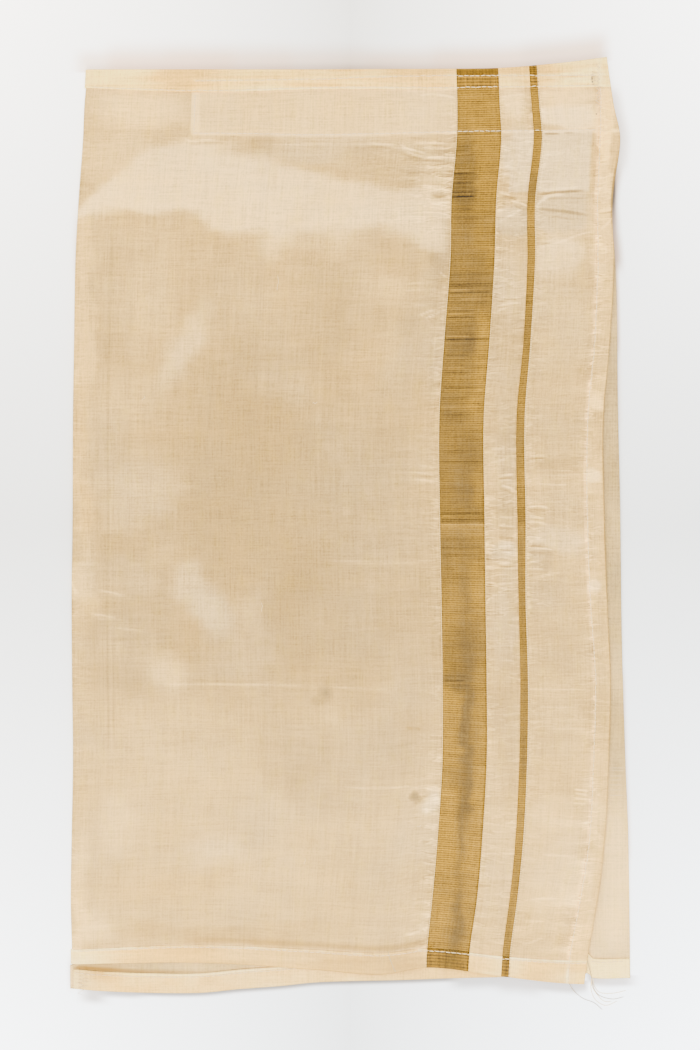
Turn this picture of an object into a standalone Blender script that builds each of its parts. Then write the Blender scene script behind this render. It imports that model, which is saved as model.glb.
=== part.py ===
"""A child's ready-made dhoti, folded flat.

One length of thin cloth with two woven gold bands, hemmed all round and folded in four.
The top quarter is a sheet that turns down round the left fold. It lies on one solid that
stands for the layers folded under it. Metres, +Z up, +Y towards the waist, and the origin
at the middle of the underside. Sizes below are in millimetres.
"""

import math

import bmesh
import bpy

MM = 0.001
COLLECTION = "folded_dhoti"

# Thicknesses
WALL = 1.0              # one sheet of cloth
SEAM_GAP = 0.3          # air between two pieces
LAYERS_HEIGHT = 3.3     # the hidden layers, pressed together
SHELF_DROP = WALL + SEAM_GAP    # the hidden layers are one sheet lower under their own hems
LEAF_TOP = LAYERS_HEIGHT + SEAM_GAP + WALL
HEM_RISE = SEAM_GAP + WALL      # outer face of a strip over the face that it lies on
EDGE_SOFTENING = 0.25

# Left fold of the leaf, and where the hidden layers start inside it
FOLD_TURN = math.radians(150)
FOLD_BLEND = 0.08       # of the way to the wide band: where the leaf is flat again
FOLD_CLEARANCE = 3.1
FOLD_SHOWN_INSET = -1.3

# Lines that follow the warp, by their place across the cloth at each height
WARP_COLUMNS = ("y", "fold", "wide_left", "wide_right", "narrow_left", "narrow_right",
                "side_stitch", "side_edge")
WARP_ROWS = (
    (281.0, -157.9, 63.4, 88.3, 107.0, 111.5, 149.3, 153.8),
    (264.3, -158.8, 64.0, 89.0, 107.8, 112.3, 149.5, 156.3),
    (252.3, -159.8, 64.3, 89.5, 108.8, 113.2, 149.5, 158.1),
    (231.3, -160.7, 64.0, 90.5, 110.0, 114.8, 149.0, 162.0),
    (195.3, -163.3, 60.8, 87.5, 106.3, 110.8, 147.6, 157.1),
    (159.3, -165.2, 60.1, 86.5, 106.3, 110.8, 147.9, 158.1),
    (111.3, -166.0, 56.5, 83.5, 104.0, 108.1, 146.0, 155.7),
    (63.3, -166.7, 53.5, 80.0, 99.8, 104.5, 141.8, 151.8),
    (3.3, -166.9, 53.9, 80.5, 100.3, 105.1, 141.4, 152.4),
    (-44.7, -167.5, 54.8, 81.1, 101.0, 105.1, 143.3, 154.0),
    (-92.7, -167.2, 55.4, 81.8, 102.1, 106.5, 146.5, 156.1),
    (-140.7, -166.7, 55.4, 81.8, 101.5, 106.0, 145.2, 154.9),
    (-188.7, -167.5, 52.4, 79.1, 99.2, 103.6, 142.7, 152.6),
    (-224.7, -168.0, 49.2, 75.9, 95.6, 100.0, 137.3, 148.3),
    (-254.7, -167.3, 46.2, 71.6, 91.6, 95.9, 131.6, 143.0),
    (-275.7, -167.1, 45.5, 70.3, 90.2, 94.5, 129.8, 140.3),
)

# Lines that follow the weft, by their height at each place across the cloth
WEFT_COLUMNS = ("x", "waist_edge", "strip_top", "waist_stitch", "strip_foot", "below_strip",
                "crease", "foot_stitch", "foot_edge")
WEFT_ROWS = (
    (-166.9, 273.6, 266.4, 262.8, 234.9, 231.9, 0.9, -254.4, -263.1),
    (-90.1, 273.6, 266.4, 259.8, 235.2, 232.2, 1.5, -251.7, -262.2),
    (-18.1, 273.6, 267.6, 261.6, 234.3, 231.6, 2.1, -254.7, -266.7),
    (17.9, 273.8, 268.8, 261.6, 235.0, 232.0, 2.1, -256.5, -269.4),
    (47.9, 273.9, 269.4, 261.3, 235.8, 232.8, 2.1, -253.8, -265.1),
    (89.8, 274.5, 269.6, 261.9, 236.7, 233.7, 2.1, -258.3, -270.3),
    (125.8, 277.5, 269.7, 262.5, 237.0, 233.7, 2.7, -260.7, -274.5),
    (154.7, 281.0, 270.0, 263.1, 237.3, 234.3, 3.3, -260.7, -275.4),
)

# Outline of the hidden layers, where it shows past the leaf or ends just inside it
RIGHT_FOLD_COLUMNS = ("y", "x")
RIGHT_FOLD_ROWS = (
    (278.1, 150.9), (252.3, 154.3), (231.3, 156.4), (195.3, 155.5), (165.3, 158.9),
    (135.3, 160.2), (75.3, 160.9), (15.3, 162.2), (-68.7, 163.3), (-140.7, 165.4),
    (-188.7, 167.2), (-272.7, 168.4),
)
LOWER_FOOT_COLUMNS = ("x", "y")
LOWER_FOOT_ROWS = (
    (-168.2, -278.4), (-150.2, -279.9), (-120.1, -281.0), (-90.1, -281.0), (-66.1, -278.7),
    (-42.1, -276.9), (-18.1, -274.5), (29.8, -273.3), (65.8, -272.1), (125.8, -270.9),
    (140.2, -269.7), (143.2, -269.4), (145.7, -272.1), (168.4, -272.1),
)

# Places where the leaf stands off the layers under it: soft mounds, turned by "turn" degrees
LIFT_COLUMNS = ("x", "y", "half_width", "half_length", "turn", "height")
LIFT_ROWS = (
    (-105.1, 208.5, 51.0, 18.0, 12.0, 2.2),
    (-12.2, 198.3, 66.0, 27.0, -5.0, 2.6),
    (41.9, 186.3, 27.0, 21.0, 0.0, 1.6),
    (-54.1, 162.3, 27.0, 16.8, 0.0, 1.0),
    (-156.2, 117.3, 8.4, 54.0, 0.0, 0.6),
    (-156.2, -32.7, 9.6, 15.6, 0.0, 1.3),
    (-90.1, -44.7, 27.0, 25.2, 0.0, 1.5),
    (-108.1, -89.7, 15.0, 18.0, 0.0, 1.0),
    (-132.2, -182.7, 8.4, 14.4, 0.0, 1.1),
    (-51.1, -203.7, 22.8, 22.8, 0.0, 1.2),
    (51.4, -80.7, 9.0, 27.0, 0.0, 1.0),
    (43.0, -194.7, 15.6, 33.0, 0.0, 1.5),
    (95.2, -59.7, 9.0, 18.0, 0.0, 0.9),
    (127.0, -8.7, 18.0, 14.4, 0.0, 1.4),
    (127.0, -176.7, 18.0, 20.4, 0.0, 1.5),
    (149.8, -20.7, 8.0, 30.0, 0.0, 0.8),
    (149.8, -164.7, 8.0, 36.0, 0.0, 1.0),
    (157.7, 197.1, 11.0, 15.6, 0.0, 3.0),
    (152.2, 279.3, 9.6, 8.0, 0.0, 1.2),
)
CREASE_HEIGHT = 0.7
CREASE_HALF_WIDTH = 5.0

# Warp lines are numbered from 0 at the left fold, weft lines from 0 at the waist edge, and
# a place between two lines is a fraction: 0.5 is halfway from the fold to the wide band.
FOLD, WIDE_LEFT, WIDE_RIGHT, NARROW_LEFT, NARROW_RIGHT, SIDE_STITCH, SIDE_EDGE = range(7)
(WAIST_EDGE, STRIP_TOP, WAIST_STITCH, STRIP_FOOT, BELOW_STRIP, CREASE, FOOT_STITCH,
 FOOT_EDGE) = range(8)
STRIP_LEFT, STRIP_LEFT_STEP = 0.293, 0.272
LABEL_LEFT, LABEL_LEFT_STEP = 2.6, 2.4
LABEL_RIGHT = 4.87
UPPER_ROWS = 16         # rows of cloth between the strip and the crease
LOWER_ROWS = 16         # rows of cloth between the crease and the foot stitching
LABEL_FOOT = BELOW_STRIP + 3 / UPPER_ROWS
LABEL_FOOT_STEP = BELOW_STRIP + 4 / UPPER_ROWS

FOLD_SIDE = -0.6         # where the fold's face stands upright, and the hems end
LEAF_COLUMNS = [-1, -0.8, FOLD_SIDE, -0.4, -0.2,
    0, 0.03, FOLD_BLEND, 0.16, STRIP_LEFT_STEP, STRIP_LEFT, 0.38, 0.47, 0.56, 0.65, 0.74, 0.83, 0.92,
    1, 1.5, 2, LABEL_LEFT_STEP, LABEL_LEFT, 3, 4, 4.3, 4.6, LABEL_RIGHT, 5, 5.5, 6]
LEAF_ROWS = ([WAIST_EDGE, STRIP_TOP, WAIST_STITCH, 2.5, STRIP_FOOT]
             + [BELOW_STRIP + row / UPPER_ROWS for row in range(UPPER_ROWS)]
             + [CREASE + row / LOWER_ROWS for row in range(LOWER_ROWS)]
             + [FOOT_STITCH, FOOT_EDGE])

# The hidden layers: a grid from left (0) to right (1) and from waist (0) to foot (1)
LAYERS_COLUMNS = 16
LAYERS_ROWS = 22
LOWER_HEM_DEPTH = 12.0
SHELF_START = 0.5       # distances past the lower hem: the shelf's end, the full height again,
SHELF_RAMP = 3.0        # and a point just inside the leaf's foot edge
LEAF_FOOT_MARGIN = 5.6
WAIST_INSET = 2.0
NOTCH_STATIONS = [0.917, 0.926, 0.934]      # the nick in the foot edge beside the leaf's corner

# Rounded edges of the hidden layers, from the top face down to the floor
LIP_COLUMNS = ("height", "inset")
LIP_ROWS = (
    (1.0, 0.9), (0.94, 0.35), (0.84, 0.15), (0.74, 0.35), (0.68, 1.0), (0.62, 0.3),
    (0.51, 0.0), (0.40, 0.3), (0.34, 1.0), (0.28, 0.3), (0.17, 0.0), (0.06, 0.25), (0.0, 0.7),
)

# Colours, roughness and metallic value of each kind of piece
LOOKS = {
    "cream_cloth": ((0.80, 0.69, 0.52), 0.55, 0.0),
    "cream_hem": ((0.86, 0.76, 0.60), 0.55, 0.0),
    "gold_zari": ((0.50, 0.34, 0.12), 0.38, 0.6),
    "gold_reverse": ((0.42, 0.29, 0.11), 0.45, 0.5),
    "under_cloth": ((0.78, 0.68, 0.52), 0.6, 0.0),
    "label_tape": ((0.74, 0.72, 0.65), 0.6, 0.0),
}


# ---------------------------------------------------------------- tables and curves

def read_column(rows, columns, name):
    """One named column of a table."""
    place = columns.index(name)
    return [row[place] for row in rows]


def follow(places, values, at):
    """Value at a place on the smooth line through a table's points."""
    if places[0] > places[-1]:
        places, values = places[::-1], values[::-1]
    if at <= places[0]:
        return values[0]
    if at >= places[-1]:
        return values[-1]
    right = next(k for k, place in enumerate(places) if place >= at)
    left = right - 1

    def slope(k):
        before, after = max(k - 1, 0), min(k + 1, len(places) - 1)
        return (values[after] - values[before]) / (places[after] - places[before])

    span = places[right] - places[left]
    part = (at - places[left]) / span
    rest = 1 - part
    return (values[left] * rest * rest * (1 + 2 * part)
            + values[right] * part * part * (3 - 2 * part)
            + slope(left) * span * part * rest * rest
            - slope(right) * span * part * part * rest)


def follow_line(rows, columns, name, at):
    return follow(read_column(rows, columns, columns[0]), read_column(rows, columns, name), at)


def follow_numbered(rows, columns, number, at):
    """Place of a numbered line, or of a line between two of them."""
    lower = min(int(number), len(columns) - 3)
    part = number - lower
    first = follow_line(rows, columns, columns[1 + lower], at)
    second = follow_line(rows, columns, columns[2 + lower], at)
    return first + (second - first) * part


def soft_step(low, high, value):
    part = min(max((value - low) / (high - low), 0.0), 1.0)
    return part * part * (3 - 2 * part)


# ---------------------------------------------------------------- the leaf's form

def leaf_place(warp, weft):
    """Plan position of a point of the leaf, where its warp and weft lines cross."""
    x, y = 0.0, 0.0
    for _ in range(4):
        y = follow_numbered(WEFT_ROWS, WEFT_COLUMNS, weft, x)
        x = follow_numbered(WARP_ROWS, WARP_COLUMNS, max(warp, FOLD), y)
    return x, y


def raised_patch(warp, weft, left, left_step, right, right_step, top, top_step, foot, foot_step):
    """1 over a piece that lies under the leaf, falling to 0 past its edges."""
    return (soft_step(left_step, left, warp) * (1 - soft_step(right, right_step, warp))
            * soft_step(top_step, top, weft) * (1 - soft_step(foot, foot_step, weft)))


def leaf_lift(warp, weft, x, y):
    """How far the leaf stands off the layers under it."""
    lift = 0.0
    for centre_x, centre_y, half_width, half_length, turn, height in LIFT_ROWS:
        turn = math.radians(turn)
        along = (x - centre_x) * math.cos(turn) + (y - centre_y) * math.sin(turn)
        across = (y - centre_y) * math.cos(turn) - (x - centre_x) * math.sin(turn)
        lift += height * math.exp(-(along / half_width) ** 2 - (across / half_length) ** 2)
    crease_y = follow_numbered(WEFT_ROWS, WEFT_COLUMNS, CREASE, x)
    lift += CREASE_HEIGHT * math.exp(-((y - crease_y) / CREASE_HALF_WIDTH) ** 2)
    strip = raised_patch(warp, weft, STRIP_LEFT, STRIP_LEFT_STEP, SIDE_STITCH, SIDE_EDGE,
                         STRIP_TOP, WAIST_EDGE, STRIP_FOOT, BELOW_STRIP)
    label = raised_patch(warp, weft, LABEL_LEFT, LABEL_LEFT_STEP, LABEL_RIGHT, SIDE_STITCH,
                         STRIP_FOOT, WAIST_STITCH, LABEL_FOOT, LABEL_FOOT_STEP)
    return lift + (WALL + SEAM_GAP) * max(strip, label)


def leaf_point(warp, weft, rise=0.0):
    """Point of the leaf's outer face, moved out by rise. Warp below 0 is round the fold."""
    x, y = leaf_place(warp, weft)
    height = LEAF_TOP + leaf_lift(max(warp, FOLD), weft, x, y)
    radius = height / 2
    if warp >= FOLD:
        return x + radius * max(0.0, 1 - warp / FOLD_BLEND), y, height + rise
    turn = -warp * FOLD_TURN
    reach = radius + rise
    return x + radius - reach * math.sin(turn), y, radius + reach * math.cos(turn)


# ---------------------------------------------------------------- the hidden layers' form

def layers_place(across, down):
    """Plan position of a point of the hidden layers."""
    x, y = 0.0, 0.0
    for _ in range(4):
        top = follow_line(WEFT_ROWS, WEFT_COLUMNS, "waist_edge", x) - WAIST_INSET
        foot = follow_line(LOWER_FOOT_ROWS, LOWER_FOOT_COLUMNS, "y", x)
        y = top + (foot - top) * down
        fold = follow_line(WARP_ROWS, WARP_COLUMNS, "fold", y)
        leaf_foot = follow_line(WEFT_ROWS, WEFT_COLUMNS, "foot_edge", x)
        shown = soft_step(leaf_foot - 0.8, leaf_foot - 3.3, y)
        left = fold + FOLD_CLEARANCE + (FOLD_SHOWN_INSET - FOLD_CLEARANCE) * shown
        right = follow_line(RIGHT_FOLD_ROWS, RIGHT_FOLD_COLUMNS, "x", y)
        x = left + (right - left) * across
    return x, y


def layers_height(x, y):
    """Height of the top face: one sheet lower where the lower hems lie on it."""
    from_foot = y - follow_line(LOWER_FOOT_ROWS, LOWER_FOOT_COLUMNS, "y", x)
    on_shelf = 1 - soft_step(LOWER_HEM_DEPTH + SHELF_START, LOWER_HEM_DEPTH + SHELF_RAMP,
                             from_foot)
    return LAYERS_HEIGHT - SHELF_DROP * on_shelf


# ---------------------------------------------------------------- making meshes

def make_material(name):
    colour, roughness, metallic = LOOKS[name]
    material = bpy.data.materials.get(name) or bpy.data.materials.new(name)
    material.use_nodes = True
    shader = material.node_tree.nodes["Principled BSDF"]
    shader.inputs["Base Color"].default_value = (*colour, 1.0)
    shader.inputs["Roughness"].default_value = roughness
    shader.inputs["Metallic"].default_value = metallic
    material.diffuse_color = (*colour, 1.0)
    return material


def mapped_grid(columns, rows, place):
    """A grid with one row and column of points for each station, moved to their places."""
    mesh = bmesh.new()
    across, down = len(columns) - 1, len(rows) - 1
    bmesh.ops.create_grid(mesh, x_segments=across, y_segments=down, size=1.0)
    for vert in mesh.verts:
        column = round((vert.co.x + 1) / 2 * across)
        row = round((1 - vert.co.y) / 2 * down)
        vert.co = place(columns[column], rows[row])
        vert.co *= MM
    return mesh


def add_object(name, mesh, look, collection):
    data = bpy.data.meshes.new(name)
    mesh.to_mesh(data)
    mesh.free()
    data.materials.append(make_material(look))
    piece = bpy.data.objects.new(name, data)
    collection.objects.link(piece)
    return piece


def thicken(piece, soften):
    """Give a sheet its wall, inwards from its outer face, and soften a strip's edges."""
    wall = piece.modifiers.new("wall", "SOLIDIFY")
    wall.thickness = WALL * MM
    wall.offset = -1.0
    wall.use_even_offset = True
    if soften:
        edge = piece.modifiers.new("soft edge", "BEVEL")
        edge.width = EDGE_SOFTENING * MM
        edge.segments = 1
        edge.limit_method = "ANGLE"
        edge.angle_limit = math.radians(60)
    piece.data.shade_smooth()
    piece.data.set_sharp_from_angle(angle=math.radians(40))


def stations_between(stations, first, last):
    return [station for station in stations if first <= station <= last]


def strip_on_leaf(name, look, collection, warp_span, weft_span, rise, trims):
    """A strip made from the leaf's own points, moved out or in by rise.

    trims are the distances by which its left, right, waist and foot edges stand back.
    """
    columns = stations_between(LEAF_COLUMNS, *warp_span)
    rows = stations_between(LEAF_ROWS, *weft_span)
    left_trim, right_trim, waist_trim, foot_trim = trims

    def place(warp, weft):
        x, y, z = leaf_point(warp, weft, rise)
        if warp == columns[0]:
            x += left_trim
        if warp == columns[-1]:
            x -= right_trim
        if weft == rows[0]:
            y -= waist_trim
        if weft == rows[-1]:
            y += foot_trim
        return x, y, z

    piece = add_object(name, mapped_grid(columns, rows, place), look, collection)
    thicken(piece, soften=True)
    return piece


def make_leaf(collection):
    leaf = add_object("front_leaf", mapped_grid(LEAF_COLUMNS, LEAF_ROWS, leaf_point),
                      "cream_cloth", collection)
    thicken(leaf, soften=False)


def make_hems(collection):
    across = (FOLD_SIDE, SIDE_EDGE)
    strip_on_leaf("waist_hem", "cream_hem", collection, across, (WAIST_EDGE, WAIST_STITCH),
                  HEM_RISE, (0, 0, 0, 0))
    strip_on_leaf("foot_hem", "cream_hem", collection, across, (FOOT_STITCH, FOOT_EDGE),
                  HEM_RISE, (0, 0, 0, 0))
    strip_on_leaf("side_hem", "cream_hem", collection, (SIDE_STITCH, SIDE_EDGE),
                  (WAIST_STITCH, FOOT_STITCH), HEM_RISE, (0, 0, SEAM_GAP, SEAM_GAP))


def make_bands(collection):
    """Each band in three stretches: on the waist hem, on the leaf and on the foot hem."""
    spans = {"wide": (WIDE_LEFT, WIDE_RIGHT), "narrow": (NARROW_LEFT, NARROW_RIGHT)}
    stretches = {
        "on_waist_hem": ((WAIST_EDGE, WAIST_STITCH), "gold_reverse", 2 * HEM_RISE, (0, 0)),
        "on_leaf": ((WAIST_STITCH, FOOT_STITCH), "gold_zari", HEM_RISE, (SEAM_GAP, SEAM_GAP)),
        "on_foot_hem": ((FOOT_STITCH, FOOT_EDGE), "gold_reverse", 2 * HEM_RISE, (0, 0)),
    }
    for width, warp_span in spans.items():
        for stretch, (weft_span, look, rise, end_trims) in stretches.items():
            strip_on_leaf(f"zari_{width}_{stretch}", look, collection, warp_span, weft_span,
                          rise, (0, 0, *end_trims))


def make_hidden_pieces(collection):
    """The fastening strip and the blank label, in the room under the raised leaf."""
    below_leaf = -(WALL + SEAM_GAP)
    strip_on_leaf("waist_strip", "under_cloth", collection, (STRIP_LEFT, SIDE_STITCH),
                  (STRIP_TOP, STRIP_FOOT), below_leaf, (0, 0, 0, 0))
    strip_on_leaf("care_label", "label_tape", collection, (LABEL_LEFT, LABEL_RIGHT),
                  (STRIP_FOOT, LABEL_FOOT), below_leaf, (0, 0, SEAM_GAP, 0))


def layers_stations():
    """Columns and rows of the hidden layers' top face, close together where it steps."""
    columns = [step / LAYERS_COLUMNS for step in range(LAYERS_COLUMNS + 1)]
    columns = sorted([c for c in columns if abs(c - NOTCH_STATIONS[1]) > 0.03] + NOTCH_STATIONS)
    length = WEFT_ROWS[0][1] - LOWER_FOOT_ROWS[0][1]
    beyond_hem = (LEAF_FOOT_MARGIN, SHELF_RAMP, SHELF_START)
    shelf_rows = [1 - (LOWER_HEM_DEPTH + extra) / length for extra in beyond_hem]
    main_rows = [shelf_rows[0] * step / LAYERS_ROWS for step in range(LAYERS_ROWS)]
    return columns, main_rows + shelf_rows + [(1 + shelf_rows[-1]) / 2, 1.0]


def boundary_normals(mesh):
    """Outward direction, in plan, at each point of the mesh's open edge."""
    normals = {}
    for edge in mesh.edges:
        if not edge.is_boundary:
            continue
        loop = edge.link_loops[0]
        start, end = loop.vert, loop.link_loop_next.vert
        along = (end.co - start.co).normalized()
        for vert in (start, end):
            total = normals.get(vert, (0.0, 0.0))
            normals[vert] = (total[0] + along.y, total[1] - along.x)
    for vert, (x, y) in normals.items():
        size = math.hypot(x, y)
        normals[vert] = (x / size, y / size)
    return normals


def make_hidden_layers(collection):
    """The layers under the leaf, as one solid with a rounded lip for each layer."""
    columns, rows = layers_stations()

    def place(across, down):
        x, y = layers_place(across, down)
        return x, y, layers_height(x, y)

    mesh = mapped_grid(columns, rows, place)
    outline = {}
    for vert, normal in boundary_normals(mesh).items():
        outline[vert] = (vert.co.copy(), normal)
    ring = [edge for edge in mesh.edges if edge.is_boundary]
    top_inset = LIP_ROWS[0][1]
    for vert, (corner, normal) in outline.items():
        vert.co.x = corner.x - normal[0] * top_inset * MM
        vert.co.y = corner.y - normal[1] * top_inset * MM
    for height, inset in LIP_ROWS[1:]:
        made = bmesh.ops.extrude_edge_only(mesh, edges=ring)["geom"]
        new_verts = [item for item in made if isinstance(item, bmesh.types.BMVert)]
        ring = [item for item in made if isinstance(item, bmesh.types.BMEdge)]
        lowered = {}
        for vert in new_verts:
            source = next(edge.other_vert(vert) for edge in vert.link_edges
                          if edge.other_vert(vert) in outline)
            corner, normal = outline[source]
            vert.co = (corner.x - normal[0] * inset * MM, corner.y - normal[1] * inset * MM,
                       corner.z * height)
            lowered[vert] = (corner, normal)
        ring = [edge for edge in ring if edge.verts[0] in lowered and edge.verts[1] in lowered]
        outline = lowered
    bmesh.ops.edgeloop_fill(mesh, edges=ring)
    bmesh.ops.recalc_face_normals(mesh, faces=mesh.faces)
    layers = add_object("folded_layers", mesh, "under_cloth", collection)
    layers.data.shade_smooth()
    layers.data.set_sharp_from_angle(angle=math.radians(50))


def make_lower_hem(name, collection, left_x, right_x, end_trim):
    """A foot hem of the lower leaf or of the right fold, on the shelf of the hidden layers."""
    count = max(2, round((right_x - left_x) / 14))
    columns = [left_x + (right_x - left_x) * step / count for step in range(count + 1)]
    rows = [0.0, 0.5, 1.0]

    def place(x, down):
        foot = follow_line(LOWER_FOOT_ROWS, LOWER_FOOT_COLUMNS, "y", x)
        y = foot + LOWER_HEM_DEPTH * (1 - down) + end_trim * down
        return x, y, LAYERS_HEIGHT - SHELF_DROP + HEM_RISE

    hem = add_object(name, mapped_grid(columns, rows, place), "cream_hem", collection)
    thicken(hem, soften=True)


def clear_scene():
    for old in list(bpy.data.objects):
        bpy.data.objects.remove(old)


def main():
    clear_scene()
    collection = bpy.data.collections.new(COLLECTION)
    bpy.context.scene.collection.children.link(collection)
    make_leaf(collection)
    make_hems(collection)
    make_bands(collection)
    make_hidden_pieces(collection)
    make_hidden_layers(collection)
    make_lower_hem("lower_foot_hem", collection, -167.0, 88.0, 0.3)
    make_lower_hem("right_fold_foot_hem", collection, 146.3, 167.6, 0.3)


main()
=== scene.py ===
"""Looks of the folded dhoti: thin sheer cloth, woven gold bands, stitched hems and loose threads.

Tables are in millimetres, in the part's own frame: +Z up, +Y towards the waist, +X towards the
free side edge. Every mesh is built in metres.
"""

import math

import bpy
import numpy as np
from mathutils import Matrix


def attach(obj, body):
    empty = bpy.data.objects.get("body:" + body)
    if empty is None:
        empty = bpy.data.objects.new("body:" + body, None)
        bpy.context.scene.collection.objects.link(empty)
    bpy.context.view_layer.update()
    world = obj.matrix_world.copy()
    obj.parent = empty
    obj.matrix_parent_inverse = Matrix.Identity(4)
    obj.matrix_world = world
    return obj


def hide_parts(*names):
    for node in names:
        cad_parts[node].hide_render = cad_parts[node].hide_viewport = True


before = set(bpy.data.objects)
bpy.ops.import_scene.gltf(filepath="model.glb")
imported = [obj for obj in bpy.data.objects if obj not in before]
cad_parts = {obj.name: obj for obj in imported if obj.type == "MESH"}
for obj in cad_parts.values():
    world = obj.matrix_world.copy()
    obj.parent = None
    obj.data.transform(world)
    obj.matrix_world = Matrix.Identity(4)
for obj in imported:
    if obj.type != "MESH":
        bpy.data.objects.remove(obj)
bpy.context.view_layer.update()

MM = 0.001
BODY = "root"

# ---------------------------------------------------------------- sizes of the frame's solids

WALL = 1.0
SEAM_GAP = 0.3
LAYERS_HEIGHT = 3.3
SHELF_DROP = WALL + SEAM_GAP
SHELF_TOP = LAYERS_HEIGHT - SHELF_DROP
LEAF_TOP = LAYERS_HEIGHT + SEAM_GAP + WALL
FOLD_TURN = math.radians(150)
FOLD_BLEND = 0.08
FOLD_CLEARANCE = 3.1
FOLD_SHOWN_INSET = -1.3

# Finer sizes of the real cloth
SHEET = 0.3             # one sheet of the cloth
HEM_RISE = 0.75         # outer face of a hem over the leaf
HEM_SHEET = 0.5
RIB_PITCH = 1.33        # woven ribs of the gold bands
RIB_HEIGHT = 0.2
RIB_ROWS = 4
EDGE_THREAD = 0.5       # pale loops of the ground weft beside a gold band
STITCH_PITCH = 3.3

# Lines of the warp, numbered from 0 at the left fold to 6 at the free side edge: x at places y
WARP_LINES = {
    "y": (281.0, 264.3, 252.3, 231.3, 195.3, 159.3, 111.3, 63.3, 3.3, -44.7, -92.7, -140.7,
          -188.7, -224.7, -254.7, -275.7),
    "fold": (-157.9, -158.8, -159.8, -160.7, -163.3, -165.2, -166.0, -166.7, -166.9, -167.5,
             -167.2, -166.7, -167.5, -168.0, -167.3, -167.1),
    "wide_left": (63.4, 64.0, 64.3, 64.0, 60.8, 60.1, 56.5, 53.5, 53.9, 54.8, 55.4, 55.4, 52.4,
                  49.2, 46.2, 45.5),
    "wide_right": (88.3, 89.0, 89.5, 90.5, 87.5, 86.5, 83.5, 80.0, 80.5, 81.1, 81.8, 81.8, 79.1,
                   75.9, 71.6, 70.3),
    "narrow_left": (107.0, 107.8, 108.8, 110.0, 106.3, 106.3, 104.0, 99.8, 100.3, 101.0, 102.1,
                    101.5, 99.2, 95.6, 91.6, 90.2),
    "narrow_right": (111.5, 112.3, 113.2, 114.8, 110.8, 110.8, 108.1, 104.5, 105.1, 105.1, 106.5,
                     106.0, 103.6, 100.0, 95.9, 94.5),
    "side_stitch": (149.3, 149.5, 149.5, 149.0, 147.6, 147.9, 146.0, 141.8, 141.4, 143.3, 146.5,
                    145.2, 142.7, 137.3, 131.6, 129.8),
    "side_edge": (153.8, 156.3, 158.1, 162.0, 157.1, 158.1, 155.7, 151.8, 152.4, 154.0, 156.1,
                  154.9, 152.6, 148.3, 143.0, 140.3),
}
# Lines of the weft, numbered from 0 at the waist edge to 7 at the foot edge: y at places x
WEFT_LINES = {
    "x": (-166.9, -90.1, -18.1, 17.9, 47.9, 89.8, 125.8, 154.7),
    "waist_edge": (273.6, 273.6, 273.6, 273.8, 273.9, 274.5, 277.5, 281.0),
    "strip_top": (266.4, 266.4, 267.6, 268.8, 269.4, 269.6, 269.7, 270.0),
    "waist_stitch": (262.8, 259.8, 261.6, 261.6, 261.3, 261.9, 262.5, 263.1),
    "strip_foot": (234.9, 235.2, 234.3, 235.0, 235.8, 236.7, 237.0, 237.3),
    "below_strip": (231.9, 232.2, 231.6, 232.0, 232.8, 233.7, 233.7, 234.3),
    "crease": (0.9, 1.5, 2.1, 2.1, 2.1, 2.1, 2.7, 3.3),
    "foot_stitch": (-254.4, -251.7, -254.7, -256.5, -253.8, -258.3, -260.7, -260.7),
    "foot_edge": (-263.1, -262.2, -266.7, -269.4, -265.1, -270.3, -274.5, -275.4),
}
# Edges of the folded layers under the leaf, at the right and at the foot
RIGHT_FOLD = {
    "y": (278.1, 252.3, 231.3, 195.3, 165.3, 135.3, 75.3, 15.3, -68.7, -140.7, -188.7, -272.7),
    "x": (150.9, 154.3, 156.4, 155.5, 158.9, 160.2, 160.9, 162.2, 163.3, 165.4, 167.2, 168.4),
}
LOWER_FOOT = {
    "x": (-168.2, -150.2, -120.1, -90.1, -66.1, -42.1, -18.1, 29.8, 65.8, 125.8, 140.2, 143.2,
          145.7, 168.4),
    "y": (-278.4, -279.9, -281.0, -281.0, -278.7, -276.9, -274.5, -273.3, -272.1, -270.9, -269.7,
          -269.4, -272.1, -272.1),
}

# Soft mounds where the leaf stands off the layers under it
# Columns: x, y, half_width, half_length, turn, height
LIFT_ROWS = (
    (-105.1, 208.5, 51.0, 18.0, 12.0, 2.2),
    (-12.2, 198.3, 66.0, 27.0, -5.0, 2.6),
    (41.9, 186.3, 27.0, 21.0, 0.0, 1.6),
    (-54.1, 162.3, 27.0, 16.8, 0.0, 1.0),
    (-156.2, 117.3, 8.4, 54.0, 0.0, 0.6),
    (-156.2, -32.7, 9.6, 15.6, 0.0, 1.3),
    (-90.1, -44.7, 27.0, 25.2, 0.0, 1.5),
    (-108.1, -89.7, 15.0, 18.0, 0.0, 1.0),
    (-132.2, -182.7, 8.4, 14.4, 0.0, 1.1),
    (-51.1, -203.7, 22.8, 22.8, 0.0, 1.2),
    (51.4, -80.7, 9.0, 27.0, 0.0, 1.0),
    (43.0, -194.7, 15.6, 33.0, 0.0, 1.5),
    (95.2, -59.7, 9.0, 18.0, 0.0, 0.9),
    (127.0, -8.7, 18.0, 14.4, 0.0, 1.4),
    (127.0, -176.7, 18.0, 20.4, 0.0, 1.5),
    (149.8, -20.7, 8.0, 30.0, 0.0, 0.8),
    (149.8, -164.7, 8.0, 36.0, 0.0, 1.0),
    (157.7, 197.1, 11.0, 15.6, 0.0, 3.0),
    (152.2, 279.3, 9.6, 8.0, 0.0, 1.2),
)
CREASE_HEIGHT = 0.7
CREASE_HALF_WIDTH = 5.0

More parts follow.
